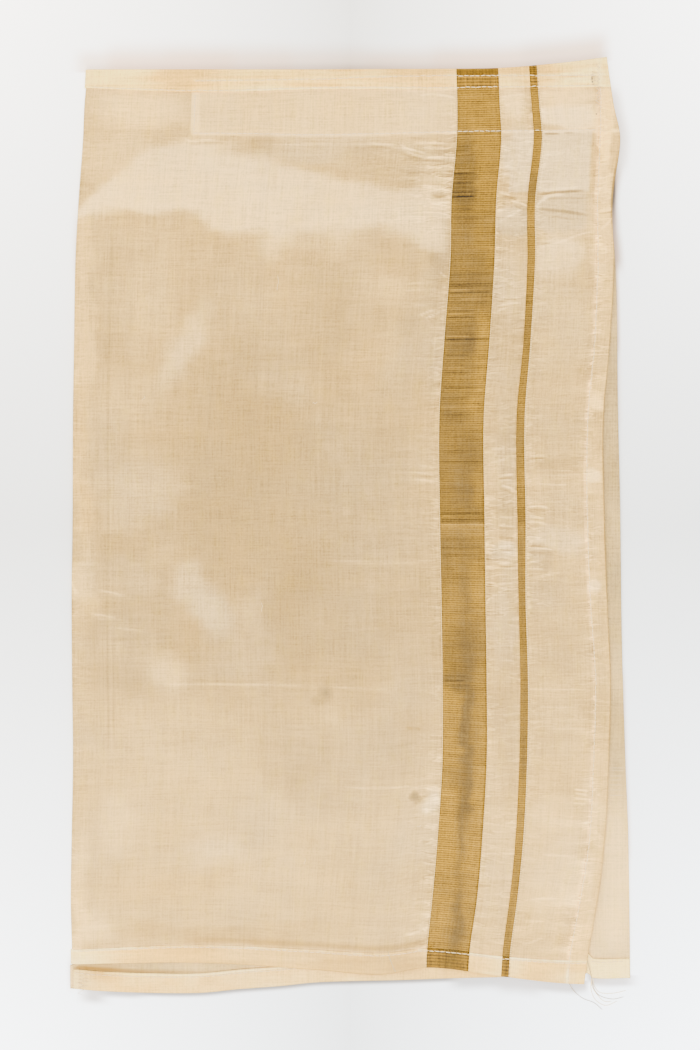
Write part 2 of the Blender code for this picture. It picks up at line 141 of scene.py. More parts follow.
FOLD, WIDE_LEFT, WIDE_RIGHT, NARROW_LEFT, NARROW_RIGHT, SIDE_STITCH, SIDE_EDGE = range(7)
(WAIST_EDGE, STRIP_TOP, WAIST_STITCH, STRIP_FOOT, BELOW_STRIP, CREASE, FOOT_STITCH,
 FOOT_EDGE) = range(8)
STRIP_LEFT, STRIP_LEFT_STEP, STRIP_FALL = 0.293, 0.272, 0.008
LABEL_LEFT, LABEL_LEFT_STEP, LABEL_RIGHT = 2.6, 2.4, 4.87
LABEL_FOOT, LABEL_FOOT_STEP = BELOW_STRIP + 3 / 16, BELOW_STRIP + 4 / 16

# Where the leaf stands well off the layers under it and looks paler, below the strip
PALE_FIELD = {
    "x": (-165, -156, -144, -132, -120, -102, -90, -78, -66, -54, -42, -30, -18, -6, 6, 18, 30,
          42, 60),
    "top": (193, 202, 213, 219, 226, 231, 231, 229, 225, 221, 217, 213, 210, 208, 207, 205, 204,
            202, 200),
    "foot": (187, 189, 191, 191, 189, 187, 184, 178, 177, 176, 171, 174, 177, 176, 177, 178, 174,
             170, 158),
}
PALE_FIELD_TONE, PALE_FIELD_WARMTH = 0.88, -0.7

# Steps of tone, where -1 is deep, 0 ground and 1 pale, and of warmth, from greyish to peach
DEEP, DIM, LOW, EVEN = -0.4, -0.1, 0.1, 0.22
SOFT, LIGHT, PALE, BRIGHT = 0.4, 0.62, 0.9, 1.5
GREY, COOL, PLAIN, WARM, PEACH = -2.0, -0.9, -0.3, 0.15, 0.8

# Lighter and darker places of the cloth, each laid over the ones before it
# Columns: x, y, half_width, half_length, turn, softness, tone, warmth
TONE_ROWS = (
    (0, 0, 400, 600, 0, 1, SOFT, WARM),
    (133, -214, 9, 40, 4, 0.8, LIGHT, PLAIN),
    (-60, 117, 156, 96, 0, 0.6, EVEN, WARM),
    (-60, -45, 156, 102, 0, 0.6, LOW, PLAIN),
    (-60, -201, 156, 90, 0, 0.6, SOFT, PLAIN),
    (110, 117, 45, 66, 0, 0.5, EVEN, WARM),
    # along the waist
    (-129, 252, 29, 11, 0, 0.7, PALE, WARM),
    (-156, 231, 8, 20, 0, 0.8, SOFT, WARM),
    (-138, 225, 22, 11, 20, 0.8, LIGHT, WARM),
    (-84, 229, 20, 5, 0, 0.8, PALE, WARM),
    (-6, 224, 66, 9, -4, 0.7, SOFT, COOL),
    (30, 214, 30, 10, -7, 0.7, EVEN, PLAIN),
    # under the pale field
    (-114, 167, 46, 11, 0, 0.9, SOFT, WARM),
    (-54, 228, 14, 5, -8, 0.7, EVEN, PLAIN),
    (-54, 160, 26, 16, -8, 0.9, EVEN, WARM),
    (15, 163, 30, 12, 0, 0.8, EVEN, WARM),
    (54, 168, 6, 24, 0, 0.7, DEEP, COOL),
    (-20, 172, 21, 8, 0, 0.9, SOFT, PLAIN),
    (-45, 170, 9, 7, 0, 0.9, LIGHT, PLAIN),
    (48, 205, 9, 9, 0, 0.8, SOFT, PLAIN),
    # along the left fold
    (-161, 120, 8, 70, 0, 0.35, LIGHT, PEACH),
    (-161, 40, 8, 50, 0, 0.35, SOFT, PEACH),
    (-161, -60, 8, 60, 0, 0.5, SOFT, WARM),
    (-162, -33, 11, 10, 0, 0.5, LIGHT, PLAIN),
    (-156, -141, 12, 36, 0, 0.9, SOFT, PLAIN),
    (-162, -228, 4, 32, 0, 0.9, PALE, WARM),
    # the middle
    (-123, 141, 28, 30, 0, 0.9, SOFT, WARM),
    (-81, 135, 20, 36, 0, 0.9, EVEN, WARM),
    (-98, 108, 8, 30, -32, 0.8, LIGHT, COOL),
    (-60, 105, 20, 30, 0, 0.9, EVEN, PLAIN),
    (-43, 82, 16, 13, 0, 0.9, SOFT, COOL),
    (-12, 123, 14, 36, 0, 0.9, LOW, PLAIN),
    (39, 108, 14, 26, -30, 0.9, EVEN, COOL),
    (27, 141, 18, 10, -20, 0.9, SOFT, WARM),
    (51, 117, 6, 36, 0, 0.8, EVEN, COOL),
    (-138, 75, 20, 18, 0, 0.9, SOFT, WARM),
    (-147, 45, 12, 24, 0, 0.9, EVEN, COOL),
    (-60, 39, 36, 48, 0, 0.9, DIM, PLAIN),
    (0, 25, 30, 40, 0, 0.9, LOW, COOL),
    (-126, 15, 22, 17, 0, 0.9, SOFT, COOL),
    (-108, -9, 14, 16, 0, 0.9, EVEN, PLAIN),
    (-72, -3, 28, 24, 0, 0.9, DIM, PLAIN),
    (18, -12, 28, 16, 0, 0.9, LOW, COOL),
    (-138, -30, 20, 14, 0, 0.8, EVEN, COOL),
    (-98, -34, 10, 12, 0, 0.7, SOFT, COOL),
    (-81, -53, 12, 16, 25, 0.7, SOFT, GREY),
    (-53, -48, 10, 17, -10, 0.9, SOFT, COOL),
    (-30, -45, 18, 30, 0, 0.9, DEEP, PLAIN),
    (0, -63, 30, 30, 0, 0.9, LOW, COOL),
    # the lower half
    (-138, -75, 26, 18, 0, 0.9, EVEN, COOL),
    (-111, -90, 12, 12, 0, 0.8, LIGHT, PLAIN),
    (-66, -78, 22, 14, 0, 0.9, EVEN, COOL),
    (40, -92, 18, 24, 0, 0.7, EVEN, COOL),
    (12, -129, 26, 20, 0, 0.9, EVEN, COOL),
    (-120, -117, 36, 14, 0, 0.9, SOFT, PLAIN),
    (-30, -123, 30, 18, 0, 0.9, EVEN, PLAIN),
    (-102, -153, 30, 24, 0, 0.9, SOFT, PLAIN),
    (-12, -153, 30, 22, 0, 0.9, EVEN, COOL),
    (-139, -178, 10, 17, 0, 0.8, LIGHT, PLAIN),
    (-57, -172, 18, 20, -10, 0.9, SOFT, COOL),
    (-83, -198, 16, 10, 0, 0.9, LIGHT, COOL),
    (-12, -200, 20, 22, 0, 0.9, SOFT, PLAIN),
    (-110, -218, 50, 12, 0, 0.9, SOFT, WARM),
    (-156, -243, 12, 10, 0, 0.9, PALE, PLAIN),
    (-80, -245, 60, 6, 0, 0.9, EVEN, WARM),
    (35, -195, 16, 42, -28, 0.6, SOFT, COOL),
    (30, -225, 18, 26, -20, 0.7, SOFT, PLAIN),
    (48, -165, 5, 8, 0, 0.7, PALE, GREY),
    # between the bands
    (95, 253, 8, 12, 0, 0.8, PALE, PLAIN),
    (97, 222, 9, 14, 0, 0.8, LIGHT, GREY),
    (96, 185, 11, 9, 0, 0.7, SOFT, GREY),
    (94, 145, 11, 24, 0, 0.8, SOFT, COOL),
    (92, 95, 9, 30, 0, 0.9, EVEN, PLAIN),
    (93, 35, 7, 30, 0, 0.9, EVEN, COOL),
    (93, -18, 7, 6, 0, 0.7, SOFT, GREY),
    (93, -60, 6, 36, 0, 0.8, SOFT, COOL),
    (94, -120, 6, 36, 0, 0.9, EVEN, PLAIN),
    (89, -200, 7, 50, 0, 0.9, SOFT, PLAIN),
    # right of the narrow band
    (129, 257, 17, 6, 0, 0.7, PALE, WARM),
    (129, 244, 17, 7, 0, 0.5, BRIGHT, COOL),
    (127, 188, 17, 12, 4, 0.6, SOFT, GREY),
    (126, 162, 17, 11, 10, 0.6, PALE, COOL),
    (126, 117, 18, 36, 0, 0.9, SOFT, PLAIN),
    (124, 60, 18, 20, 0, 0.9, EVEN, PLAIN),
    (123, 33, 16, 7, 0, 0.9, LOW, PLAIN),
    (125, 12, 16, 10, 0, 0.9, SOFT, PLAIN),
    (124, -9, 18, 8, 0, 0.6, LIGHT, COOL),
    (114, -20, 7, 5, 0, 0.7, LOW, COOL),
    (117, -42, 10, 12, 0, 0.9, EVEN, COOL),
    (126, -75, 18, 22, 0, 0.9, EVEN, PLAIN),
    (126, -120, 18, 26, 0, 0.9, SOFT, PLAIN),
    (124, -172, 18, 12, 0, 0.9, LIGHT, PLAIN),
    (120, -218, 14, 24, 4, 0.9, LIGHT, PLAIN),
    (117, -249, 13, 6, 0, 0.8, SOFT, WARM),
    # the side hem
    (152, 240, 5, 22, 0, 0.7, BRIGHT, PEACH),
    (152, 207, 5, 12, 0, 0.7, PALE, WARM),
    (152, 165, 5, 26, 0, 0.8, LIGHT, WARM),
    (150, 105, 5, 36, 0, 0.8, SOFT, WARM),
    (147, 74, 5, 5, 0, 0.5, PALE, WARM),
    (147, 51, 5, 14, 0, 0.8, EVEN, WARM),
    (146, 27, 5, 5, 0, 0.5, PALE, COOL),
    (146, -3, 5, 18, 0, 0.8, SOFT, PLAIN),
    (147, -38, 5, 6, 0, 0.5, PALE, COOL),
    (148, -95, 5, 45, 0, 0.8, EVEN, PLAIN),
    (147, -170, 5, 20, 0, 0.8, LIGHT, PLAIN),
    (143, -213, 4, 20, 0, 0.8, LIGHT, PLAIN),
    (139, -243, 4, 14, 0, 0.8, LIGHT, WARM),
    # small stains
    (-17, -103, 2.2, 5, 0, 1.2, -1.3, GREY),
    (37, -160.5, 2, 2.6, 0, 1.2, -1.6, GREY),
    (37, -124, 1.7, 1.1, 0, 1, DEEP, PEACH),
    (42, -124.6, 1.4, 1.2, 0, 1, DEEP, WARM),
)

# Bunches of short crosswise puckers, on one side (-1 left, +1 right) of a line of the warp
# Columns: line, side, from_y, to_y, height, reach, pitch
PUCKER_ROWS = (
    (WIDE_LEFT, -1, 240.0, -258.0, 0.12, 7.0, 2.3),
    (WIDE_RIGHT, 1, 262.0, -258.0, 0.12, 6.0, 2.3),
    (NARROW_LEFT, -1, 262.0, -258.0, 0.11, 5.0, 2.4),
    (NARROW_RIGHT, 1, 262.0, -258.0, 0.12, 7.0, 2.4),
    (SIDE_STITCH, -1, 262.0, -258.0, 0.12, 5.0, 2.6),
    (SIDE_STITCH, 1, 262.0, -258.0, 0.14, 9.0, 3.4),
    (WIDE_LEFT, -1, 238.0, 200.0, 0.34, 26.0, 3.4),
    (WIDE_LEFT, -1, 200.0, 176.0, 0.26, 18.0, 4.2),
    (WIDE_LEFT, -1, 150.0, 110.0, 0.16, 10.0, 3.6),
    (WIDE_LEFT, -1, 92.0, 68.0, 0.20, 14.0, 3.4),
    (WIDE_LEFT, -1, 44.0, 12.0, 0.24, 16.0, 3.8),
    (WIDE_LEFT, -1, -26.0, -60.0, 0.20, 14.0, 5.0),
    (WIDE_LEFT, -1, -120.0, -170.0, 0.14, 10.0, 4.5),
    (WIDE_LEFT, -1, -215.0, -252.0, 0.22, 20.0, 3.6),
    (WIDE_RIGHT, 1, 236.0, 170.0, 0.22, 14.0, 4.4),
    (WIDE_RIGHT, 1, 150.0, 120.0, 0.14, 9.0, 3.8),
    (WIDE_RIGHT, 1, 96.0, 60.0, 0.14, 8.0, 3.4),
    (WIDE_RIGHT, 1, 44.0, -32.0, 0.26, 16.0, 3.2),
    (WIDE_RIGHT, 1, -70.0, -110.0, 0.12, 9.0, 3.8),
    (WIDE_RIGHT, 1, -205.0, -252.0, 0.24, 15.0, 4.4),
    (NARROW_LEFT, -1, 210.0, 176.0, 0.20, 10.0, 4.0),
    (NARROW_LEFT, -1, 40.0, -30.0, 0.18, 11.0, 3.2),
    (NARROW_RIGHT, 1, 236.0, 150.0, 0.20, 14.0, 5.2),
    (NARROW_RIGHT, 1, 120.0, 80.0, 0.14, 12.0, 4.0),
    (NARROW_RIGHT, 1, 40.0, -30.0, 0.22, 18.0, 3.8),
    (NARROW_RIGHT, 1, -60.0, -120.0, 0.12, 12.0, 4.4),
    (NARROW_RIGHT, 1, -200.0, -258.0, 0.22, 14.0, 4.6),
    (SIDE_STITCH, -1, 240.0, 130.0, 0.16, 8.0, 3.6),
    (SIDE_STITCH, -1, 60.0, -60.0, 0.14, 8.0, 4.4),
    (SIDE_STITCH, -1, -150.0, -262.0, 0.34, 12.0, 3.8),
)

# Stretches beside a warp line where the cloth is finely wrinkled, side -1 left or 1 right
# Columns: line, side, from_y, to_y, amount, reach
CRINKLE_ROWS = (
    (WIDE_LEFT, -1, 262, 236, 0.4, 8.0),
    (WIDE_LEFT, -1, 236, 176, 1.2, 20.0),
    (WIDE_LEFT, -1, 176, 60, 0.5, 8.0),
    (WIDE_LEFT, -1, 60, -120, 0.5, 9.0),
    (WIDE_LEFT, -1, -120, -258, 0.7, 11.0),
    (WIDE_RIGHT, 1, 262, 240, 0.5, 7.0),
    (WIDE_RIGHT, 1, 236, 130, 0.8, 9.0),
    (WIDE_RIGHT, 1, 130, 20, 0.5, 8.0),
    (WIDE_RIGHT, 1, 20, -60, 0.9, 12.0),
    (WIDE_RIGHT, 1, -60, -258, 0.5, 8.0),
    (NARROW_LEFT, -1, 262, -258, 0.4, 6.0),
    (NARROW_RIGHT, 1, 262, 240, 0.5, 8.0),
    (NARROW_RIGHT, 1, 236, 130, 0.4, 10.0),
    (NARROW_RIGHT, 1, 130, 20, 0.5, 10.0),
    (NARROW_RIGHT, 1, 20, -60, 0.5, 14.0),
    (NARROW_RIGHT, 1, -60, -258, 0.3, 12.0),
    (SIDE_STITCH, -1, 262, -40, 0.4, 6.0),
    (SIDE_STITCH, -1, -40, -262, 0.4, 8.0),
    (SIDE_STITCH, 1, 262, 60, 0.7, 9.0),
    (SIDE_STITCH, 1, 60, -262, 0.5, 9.0),
    (FOLD, 1, 262, -258, 0.35, 6.0),
)

# Single soft creases: a ridge (+) or trough (-) along a bow from one point to another
# Columns: x0, y0, x1, y1, bow, half_width, height
FOLD_MARK_ROWS = (
    # strip, beside the wide band
    (40.6, 257.7, 53.9, 258.6, 0.4, 0.6, 0.24),
    (51.4, 258.3, 63.4, 256.8, 0.3, 0.6, 0.28),
    (29.8, 260.4, 62.8, 261.3, 0.0, 0.6, 0.12),
    # under the strip foot
    (-99.8, 231.9, -91.3, 230.4, -0.5, 0.6, 0.24),
    (-91.3, 231.0, -81.8, 231.3, 0.3, 0.6, 0.20),
    (-98.5, 228.9, -74.5, 229.5, 0.2, 0.8, -0.20),
    (-52.9, 228.3, 29.8, 228.3, 0.4, 0.6, 0.20),
    (-30.1, 231.3, 29.8, 231.9, 0.0, 0.7, 0.08),
    (10.7, 229.5, 29.2, 228.3, -0.2, 0.6, 0.30),
    (9.4, 227.7, 27.4, 226.5, -0.2, 0.7, -0.16),
    (28.6, 228.3, 47.9, 222.9, -0.6, 0.7, 0.34),
    (32.2, 225.3, 45.4, 221.1, -0.6, 0.7, 0.20),
    (37.6, 229.1, 59.2, 229.2, 0.6, 0.6, 0.40),
    (43.6, 225.9, 59.2, 225.9, 0.7, 0.6, 0.24),
    (45.4, 220.8, 55.6, 220.2, 0.2, 0.7, 0.38),
    (43.0, 217.5, 55.0, 218.1, 0.2, 0.5, 0.20),
    (46.6, 215.1, 57.4, 213.9, 0.2, 0.5, 0.18),
    (53.9, 212.1, 59.8, 211.8, 0.0, 0.5, 0.20),
    (44.2, 219.0, 57.4, 218.7, 0.0, 0.6, -0.18),
    (29.8, 223.5, 45.4, 219.3, -0.5, 0.7, -0.20),
    (47.9, 227.7, 61.0, 227.4, 0.0, 0.6, -0.18),
    (41.9, 203.7, 58.6, 202.5, 0.2, 0.8, 0.30),
    (49.0, 201.0, 59.2, 200.7, 0.0, 0.6, 0.22),
    (47.9, 198.0, 59.2, 196.8, 0.0, 1.3, -0.34),
    (45.4, 194.1, 59.2, 193.2, 0.0, 0.6, 0.12),
    (47.9, 189.9, 59.2, 189.3, 0.0, 0.5, 0.12),
    # wide band, left side further down
    (53.9, 152.1, 58.6, 149.1, -0.5, 0.6, 0.30),
    (32.2, 144.9, 56.2, 146.1, 0.3, 0.6, 0.12),
    (29.8, 140.7, 56.2, 141.9, 0.3, 0.6, 0.12),
    (37.0, 131.7, 48.4, 132.0, 0.1, 0.5, 0.16),
    (47.9, 130.3, 57.4, 129.7, 0.0, 0.5, -0.20),
    (40.0, 125.1, 53.9, 129.9, 0.7, 0.6, 0.26),
    (44.2, 123.0, 56.2, 128.7, 0.7, 0.6, 0.26),
    (47.9, 121.5, 55.6, 126.3, 0.5, 0.6, -0.16),
    (49.0, 108.9, 53.9, 110.7, 0.3, 0.6, 0.18),
    (44.2, 40.2, 53.2, 39.3, 0.2, 0.5, 0.10),
    (39.4, 36.3, 53.2, 33.9, 0.4, 0.7, 0.12),
    (35.9, 32.1, 53.2, 30.1, 0.2, 0.5, 0.16),
    (37.0, 30.3, 52.0, 29.2, 0.1, 0.5, -0.12),
    (37.0, 27.9, 53.2, 26.1, 0.2, 0.5, 0.18),
    (50.2, 4.2, 53.9, 3.9, 0.0, 0.7, 0.20),
    (29.8, -21.9, 53.9, -21.3, 0.2, 0.5, 0.12),
    (44.2, -158.7, 53.9, -156.3, 0.3, 0.8, 0.26),
    (37.0, -168.3, 51.4, -159.9, 0.9, 0.7, -0.18),
    (31.0, -245.7, 49.0, -239.7, -1.2, 0.8, 0.30),
    (34.6, -251.1, 50.2, -245.1, -1.2, 0.8, -0.26),
    (38.2, -254.7, 51.4, -249.3, -1.0, 0.7, 0.26),
    # creases of the middle and the left
    (-68.5, 33.3, -62.5, 32.1, 0.0, 0.7, 0.14),
    (-174.2, -23.1, -163.3, -44.7, 0.9, 0.9, 0.24),
    (-152.5, -38.7, -133.3, -43.5, 0.7, 0.7, 0.18),
    (-156.2, -53.1, -140.5, -54.9, 0.1, 0.6, 0.22),
    (-152.5, -56.1, -139.3, -55.5, 0.0, 0.6, 0.16),
    (-144.2, -60.3, -120.1, -65.1, 0.2, 0.6, 0.12),
    (-142.9, -68.7, -120.1, -66.9, 0.0, 0.8, -0.12),
    (-60.1, -20.7, 53.9, -21.9, 0.0, 0.5, 0.08),
    (-126.1, -95.1, -12.2, -95.7, 0.2, 0.6, 0.14),
    (-12.2, -96.9, 25.1, -98.7, 0.0, 0.5, 0.10),
    (-6.1, -157.5, 52.6, -156.9, 0.0, 0.5, 0.14),
    # between the bands
    (89.8, 256.5, 106.6, 258.9, 0.4, 0.6, 0.16),
    (95.8, 246.9, 108.5, 248.1, 0.2, 0.6, 0.20),
    (89.2, 217.5, 98.2, 217.5, 0.0, 0.4, 0.14),
    (89.2, 214.8, 98.2, 214.8, 0.0, 0.4, 0.14),
    (89.2, 210.9, 97.0, 210.7, 0.0, 0.6, 0.42),
    (89.2, 207.3, 98.2, 207.3, 0.0, 0.4, 0.14),
    (89.2, 213.0, 98.2, 213.0, 0.0, 0.5, -0.14),
    (88.6, 200.1, 96.5, 198.0, 0.4, 0.8, 0.36),
    (90.5, 197.7, 101.2, 195.7, 0.2, 0.6, -0.46),
    (95.8, 194.9, 102.5, 193.7, -0.2, 0.7, 0.36),
    (101.2, 193.5, 106.6, 191.1, 0.2, 0.7, 0.34),
    (98.2, 191.7, 103.0, 189.9, 0.0, 0.5, -0.22),
    (88.0, 187.8, 95.2, 190.3, 0.3, 0.6, 0.34),
    (93.5, 185.1, 103.0, 191.1, -1.0, 0.7, 0.18),
    (88.6, 182.1, 98.2, 186.9, 0.0, 0.6, 0.12),
    (87.5, 167.7, 92.2, 165.9, 0.0, 0.5, 0.16),
    (88.6, 136.5, 103.0, 136.5, 0.6, 0.6, 0.20),
    (88.0, 131.7, 104.2, 133.5, 0.7, 0.6, 0.34),
    (88.0, 134.1, 101.8, 135.3, 0.6, 0.5, -0.14),
    (87.5, 128.1, 94.6, 130.5, 0.5, 0.6, 0.22),
    (83.8, 45.9, 94.6, 47.1, -0.4, 0.8, 0.22),
    (82.6, 37.5, 98.2, 42.3, -0.8, 0.9, 0.16),
    (89.2, 29.4, 98.8, 30.3, 0.5, 0.6, 0.30),
    (88.6, 28.0, 98.2, 28.7, 0.2, 0.5, -0.28),
    (88.6, 26.7, 97.6, 27.3, 0.2, 0.5, 0.22),
    (89.8, 24.3, 99.5, 20.7, 0.5, 0.8, 0.34),
    (88.6, 22.5, 98.2, 18.9, 0.4, 0.6, -0.16),
    (88.6, 5.1, 99.5, 4.5, 0.0, 0.7, 0.22),
    (88.6, 0.3, 100.0, -0.3, -0.3, 0.5, 0.30),
    (88.6, -1.2, 99.5, -1.8, -0.2, 0.5, -0.22),
    (88.6, -7.3, 98.8, -7.4, 0.0, 0.5, -0.34),
    (88.6, -9.3, 99.5, -10.2, -0.2, 0.7, 0.24),
    (88.6, -12.6, 98.8, -12.3, 0.2, 0.7, 0.30),
    (88.6, -14.5, 98.8, -14.6, 0.0, 0.4, -0.30),
    (89.2, -15.9, 98.8, -16.5, 0.0, 0.5, 0.24),
    (88.6, -22.5, 99.5, -21.9, -0.5, 0.8, 0.28),
    (88.6, -24.6, 99.5, -23.7, -0.5, 0.6, -0.20),
    (89.2, -37.5, 99.5, -38.7, 0.0, 0.5, 0.12),
    (89.8, -80.7, 100.6, -81.9, 0.3, 0.6, 0.16),
    (90.5, -114.3, 101.2, -113.1, 0.3, 0.6, 0.14),
    # right of the narrow band
    (113.2, 248.4, 136.7, 251.4, -0.4, 0.6, 0.30),
    (135.4, 251.4, 146.2, 252.7, -0.7, 1.0, 0.40),
    (114.5, 242.1, 131.8, 243.9, 0.2, 0.6, 0.14),
    (129.4, 238.5, 147.4, 240.0, 0.4, 0.8, 0.30),
    (115.6, 234.9, 126.4, 235.1, 0.0, 0.6, -0.55),
    (127.6, 235.5, 134.8, 235.5, 0.0, 0.5, -0.26),
    (111.5, 198.3, 142.7, 200.9, 0.5, 0.7, -0.62),
    (111.5, 200.4, 141.4, 202.8, 0.5, 1.0, 0.18),
    (113.8, 195.9, 129.4, 198.3, 1.2, 1.0, 0.40),
    (110.8, 190.5, 119.8, 197.1, 1.0, 0.7, 0.34),
    (116.8, 196.1, 143.8, 195.9, 0.4, 0.8, -0.12),
    (112.0, 189.9, 145.0, 185.7, 0.5, 0.9, -0.40),
    (111.5, 186.9, 131.8, 183.9, 0.2, 0.7, -0.14),
    (113.2, 168.5, 124.6, 169.8, 0.1, 0.7, -0.24),
    (113.2, 167.7, 134.2, 173.4, -0.8, 0.6, 0.24),
    (129.4, 171.7, 150.4, 177.4, 0.6, 0.6, 0.28),
    (149.8, 177.3, 157.7, 185.4, -0.4, 0.6, 0.32),
    (148.7, 188.7, 157.7, 189.9, 0.0, 1.2, 0.44),
    (149.8, 187.1, 157.0, 187.7, 0.0, 0.7, -0.20),
    (146.2, 197.7, 156.4, 207.3, 1.2, 1.5, 0.20),
    (146.2, 238.8, 157.0, 241.5, 0.2, 0.8, 0.22),
    (106.0, 132.3, 118.6, 133.5, 0.3, 0.6, 0.14),
    (104.8, 58.9, 110.2, 61.1, 0.2, 0.7, 0.26),
    (106.6, 41.3, 119.2, 42.1, 0.2, 0.6, 0.24),
    (106.6, 39.9, 117.4, 40.5, 0.1, 0.5, -0.16),
    (106.0, 38.4, 117.4, 39.7, 0.2, 0.6, 0.22),
    (106.6, 33.3, 137.8, 32.7, 0.0, 0.4, 0.16),
    (116.8, 29.7, 141.4, 30.9, 0.0, 0.6, 0.12),
    (110.8, 24.7, 132.4, 24.3, 0.1, 0.4, 0.30),
    (116.8, 26.8, 137.8, 27.1, 0.0, 0.5, -0.12),
    (106.0, 11.5, 120.4, 10.3, 0.6, 0.7, 0.42),
    (106.0, 9.3, 118.6, 8.7, 0.4, 0.6, -0.14),
    (106.0, 6.3, 117.4, 3.6, 0.2, 0.7, 0.26),
    (106.0, 2.4, 119.2, 0.3, 0.6, 0.9, 0.26),
    (106.0, -12.5, 115.6, -12.3, 0.1, 0.5, -0.34),
    (106.0, -13.5, 123.4, -14.7, 0.3, 0.6, 0.38),
    (106.0, -16.2, 118.6, -16.9, 0.2, 0.6, -0.22),
    (106.6, -21.9, 115.0, -21.3, 0.1, 0.6, 0.26),
    (106.0, -25.7, 117.4, -26.6, 0.2, 0.6, 0.28),
    (110.2, -31.2, 127.0, -28.3, 0.2, 0.6, 0.16),
    (106.6, -98.1, 145.0, -98.7, 0.0, 0.5, 0.12),
    (107.8, -108.9, 140.8, -109.2, 0.0, 0.5, 0.12),
    (116.8, -121.5, 143.8, -121.9, 0.0, 0.5, 0.12),
    (113.8, -197.7, 136.7, -199.5, 0.6, 0.7, 0.16),
    (106.0, -224.7, 125.8, -223.5, 0.4, 0.7, 0.16),
    (101.8, -236.7, 118.6, -237.3, -0.5, 0.6, 0.22),
    (101.8, -251.7, 116.8, -246.3, -0.6, 0.7, 0.18),
    (133.7, -158.1, 143.8, -159.3, 0.0, 0.7, 0.40),
    (134.2, -160.5, 143.2, -161.7, 0.0, 0.6, 0.34),
    (133.7, -163.3, 143.2, -164.1, 0.0, 0.6, 0.30),
    (133.0, -166.5, 142.7, -166.9, 0.0, 0.6, 0.22),
    # right end of the waist hem
    (124.0, 270.8, 145.0, 271.3, 0.1, 0.6, 0.30),
    (124.0, 269.2, 143.0, 269.4, 0.0, 0.6, -0.16),
    (128.0, 268.0, 144.0, 268.2, 0.1, 0.5, 0.18),
    (126.0, 266.0, 145.0, 266.8, 0.3, 0.6, 0.26),
    (132.0, 264.9, 147.0, 264.6, 0.1, 0.6, -0.18),
    (110.0, 267.2, 126.0, 267.0, 0.1, 0.5, -0.12),
    (110.0, 269.6, 126.0, 269.8, 0.0, 0.5, 0.14),
    (140.0, 273.4, 149.0, 274.4, 0.2, 0.6, 0.26),
    (146.6, 275.0, 151.0, 268.0, 0.6, 0.8, 0.22),
    (149.0, 262.0, 153.0, 254.0, -0.5, 0.9, 0.20),
    (146.0, 262.4, 150.6, 258.0, 0.4, 0.7, -0.16),
)


# ---------------------------------------------------------------- lines and noise on arrays

def follow(places, values, at):
    """Values at some places on the smooth line through a table's points."""
    places = np.asarray(places, float)
    values = np.asarray(values, float)
    if places[0] > places[-1]:
        places, values = places[::-1], values[::-1]
    slopes = np.empty_like(values)
    slopes[1:-1] = (values[2:] - values[:-2]) / (places[2:] - places[:-2])
    slopes[0] = (values[1] - values[0]) / (places[1] - places[0])
    slopes[-1] = (values[-1] - values[-2]) / (places[-1] - places[-2])
    at = np.clip(at, places[0], places[-1])
    right = np.clip(np.searchsorted(places, at), 1, len(places) - 1)
    left = right - 1
    span = places[right] - places[left]
    part = (at - places[left]) / span
    rest = 1 - part
    return (values[left] * rest * rest * (1 + 2 * part)
            + values[right] * part * part * (3 - 2 * part)
            + slopes[left] * span * part * rest * rest
            - slopes[right] * span * part * part * rest)


def warp_line(line, y):
    """How far across the cloth a numbered line of the warp runs, at places y."""
    return follow(WARP_LINES["y"], list(WARP_LINES.values())[1 + line], y)


def weft_line(line, x):
    """How far up the cloth a numbered line of the weft runs, at places x."""
    return follow(WEFT_LINES["x"], list(WEFT_LINES.values())[1 + line], x)


def lower_foot_line(x):
    """Foot edge of the layers under the leaf, at places x."""
    return follow(LOWER_FOOT["x"], LOWER_FOOT["y"], x)


def right_fold_line(y):
    """Right fold of the layers under the leaf, at places y."""
    return follow(RIGHT_FOLD["y"], RIGHT_FOLD["x"], y)


def numbered_line(lines, numbers, at):
    """Place of numbered lines, or of lines between two of them, at some places."""
    places, *others = lines.values()
    values = np.stack([follow(places, line, at) for line in others])
    lower = np.clip(np.floor(numbers), 0, len(values) - 2).astype(int)
    first = np.take_along_axis(values, lower[None], 0)[0]
    second = np.take_along_axis(values, lower[None] + 1, 0)[0]
    return first + (second - first) * (numbers - lower)


def eased(part):
    """A part from 0 to 1, made smooth at both ends."""
    return part * part * (3 - 2 * part)


def soft_step(low, high, value):
    """0 at low, 1 at high and smooth between them."""
    return eased(np.clip((value - low) / (high - low), 0, 1))


def stretch(from_y, to_y, outside, inside, y):
    """1 from one place down to another, fading from outside each of them to inside it."""
    return (soft_step(from_y + outside, from_y - inside, y)
            * soft_step(to_y - outside, to_y + inside, y))


def hump(value, half_width):
    """1 at zero, falling away softly to both sides."""
    return np.exp(-(value / half_width) ** 2)


RIPPLE_KNOTS, PATCH_KNOTS = 4096, 256


def ripple(seed, pitch, at):
    """Uneven waves from -1 to 1 along a line, with about one knot for each pitch."""
    knots = np.random.default_rng(seed).uniform(-1, 1, RIPPLE_KNOTS)
    at = at / pitch + RIPPLE_KNOTS // 2
    left = np.floor(at).astype(int) % (RIPPLE_KNOTS - 1)
    part = eased(at - np.floor(at))
    return knots[left] * (1 - part) + knots[left + 1] * part


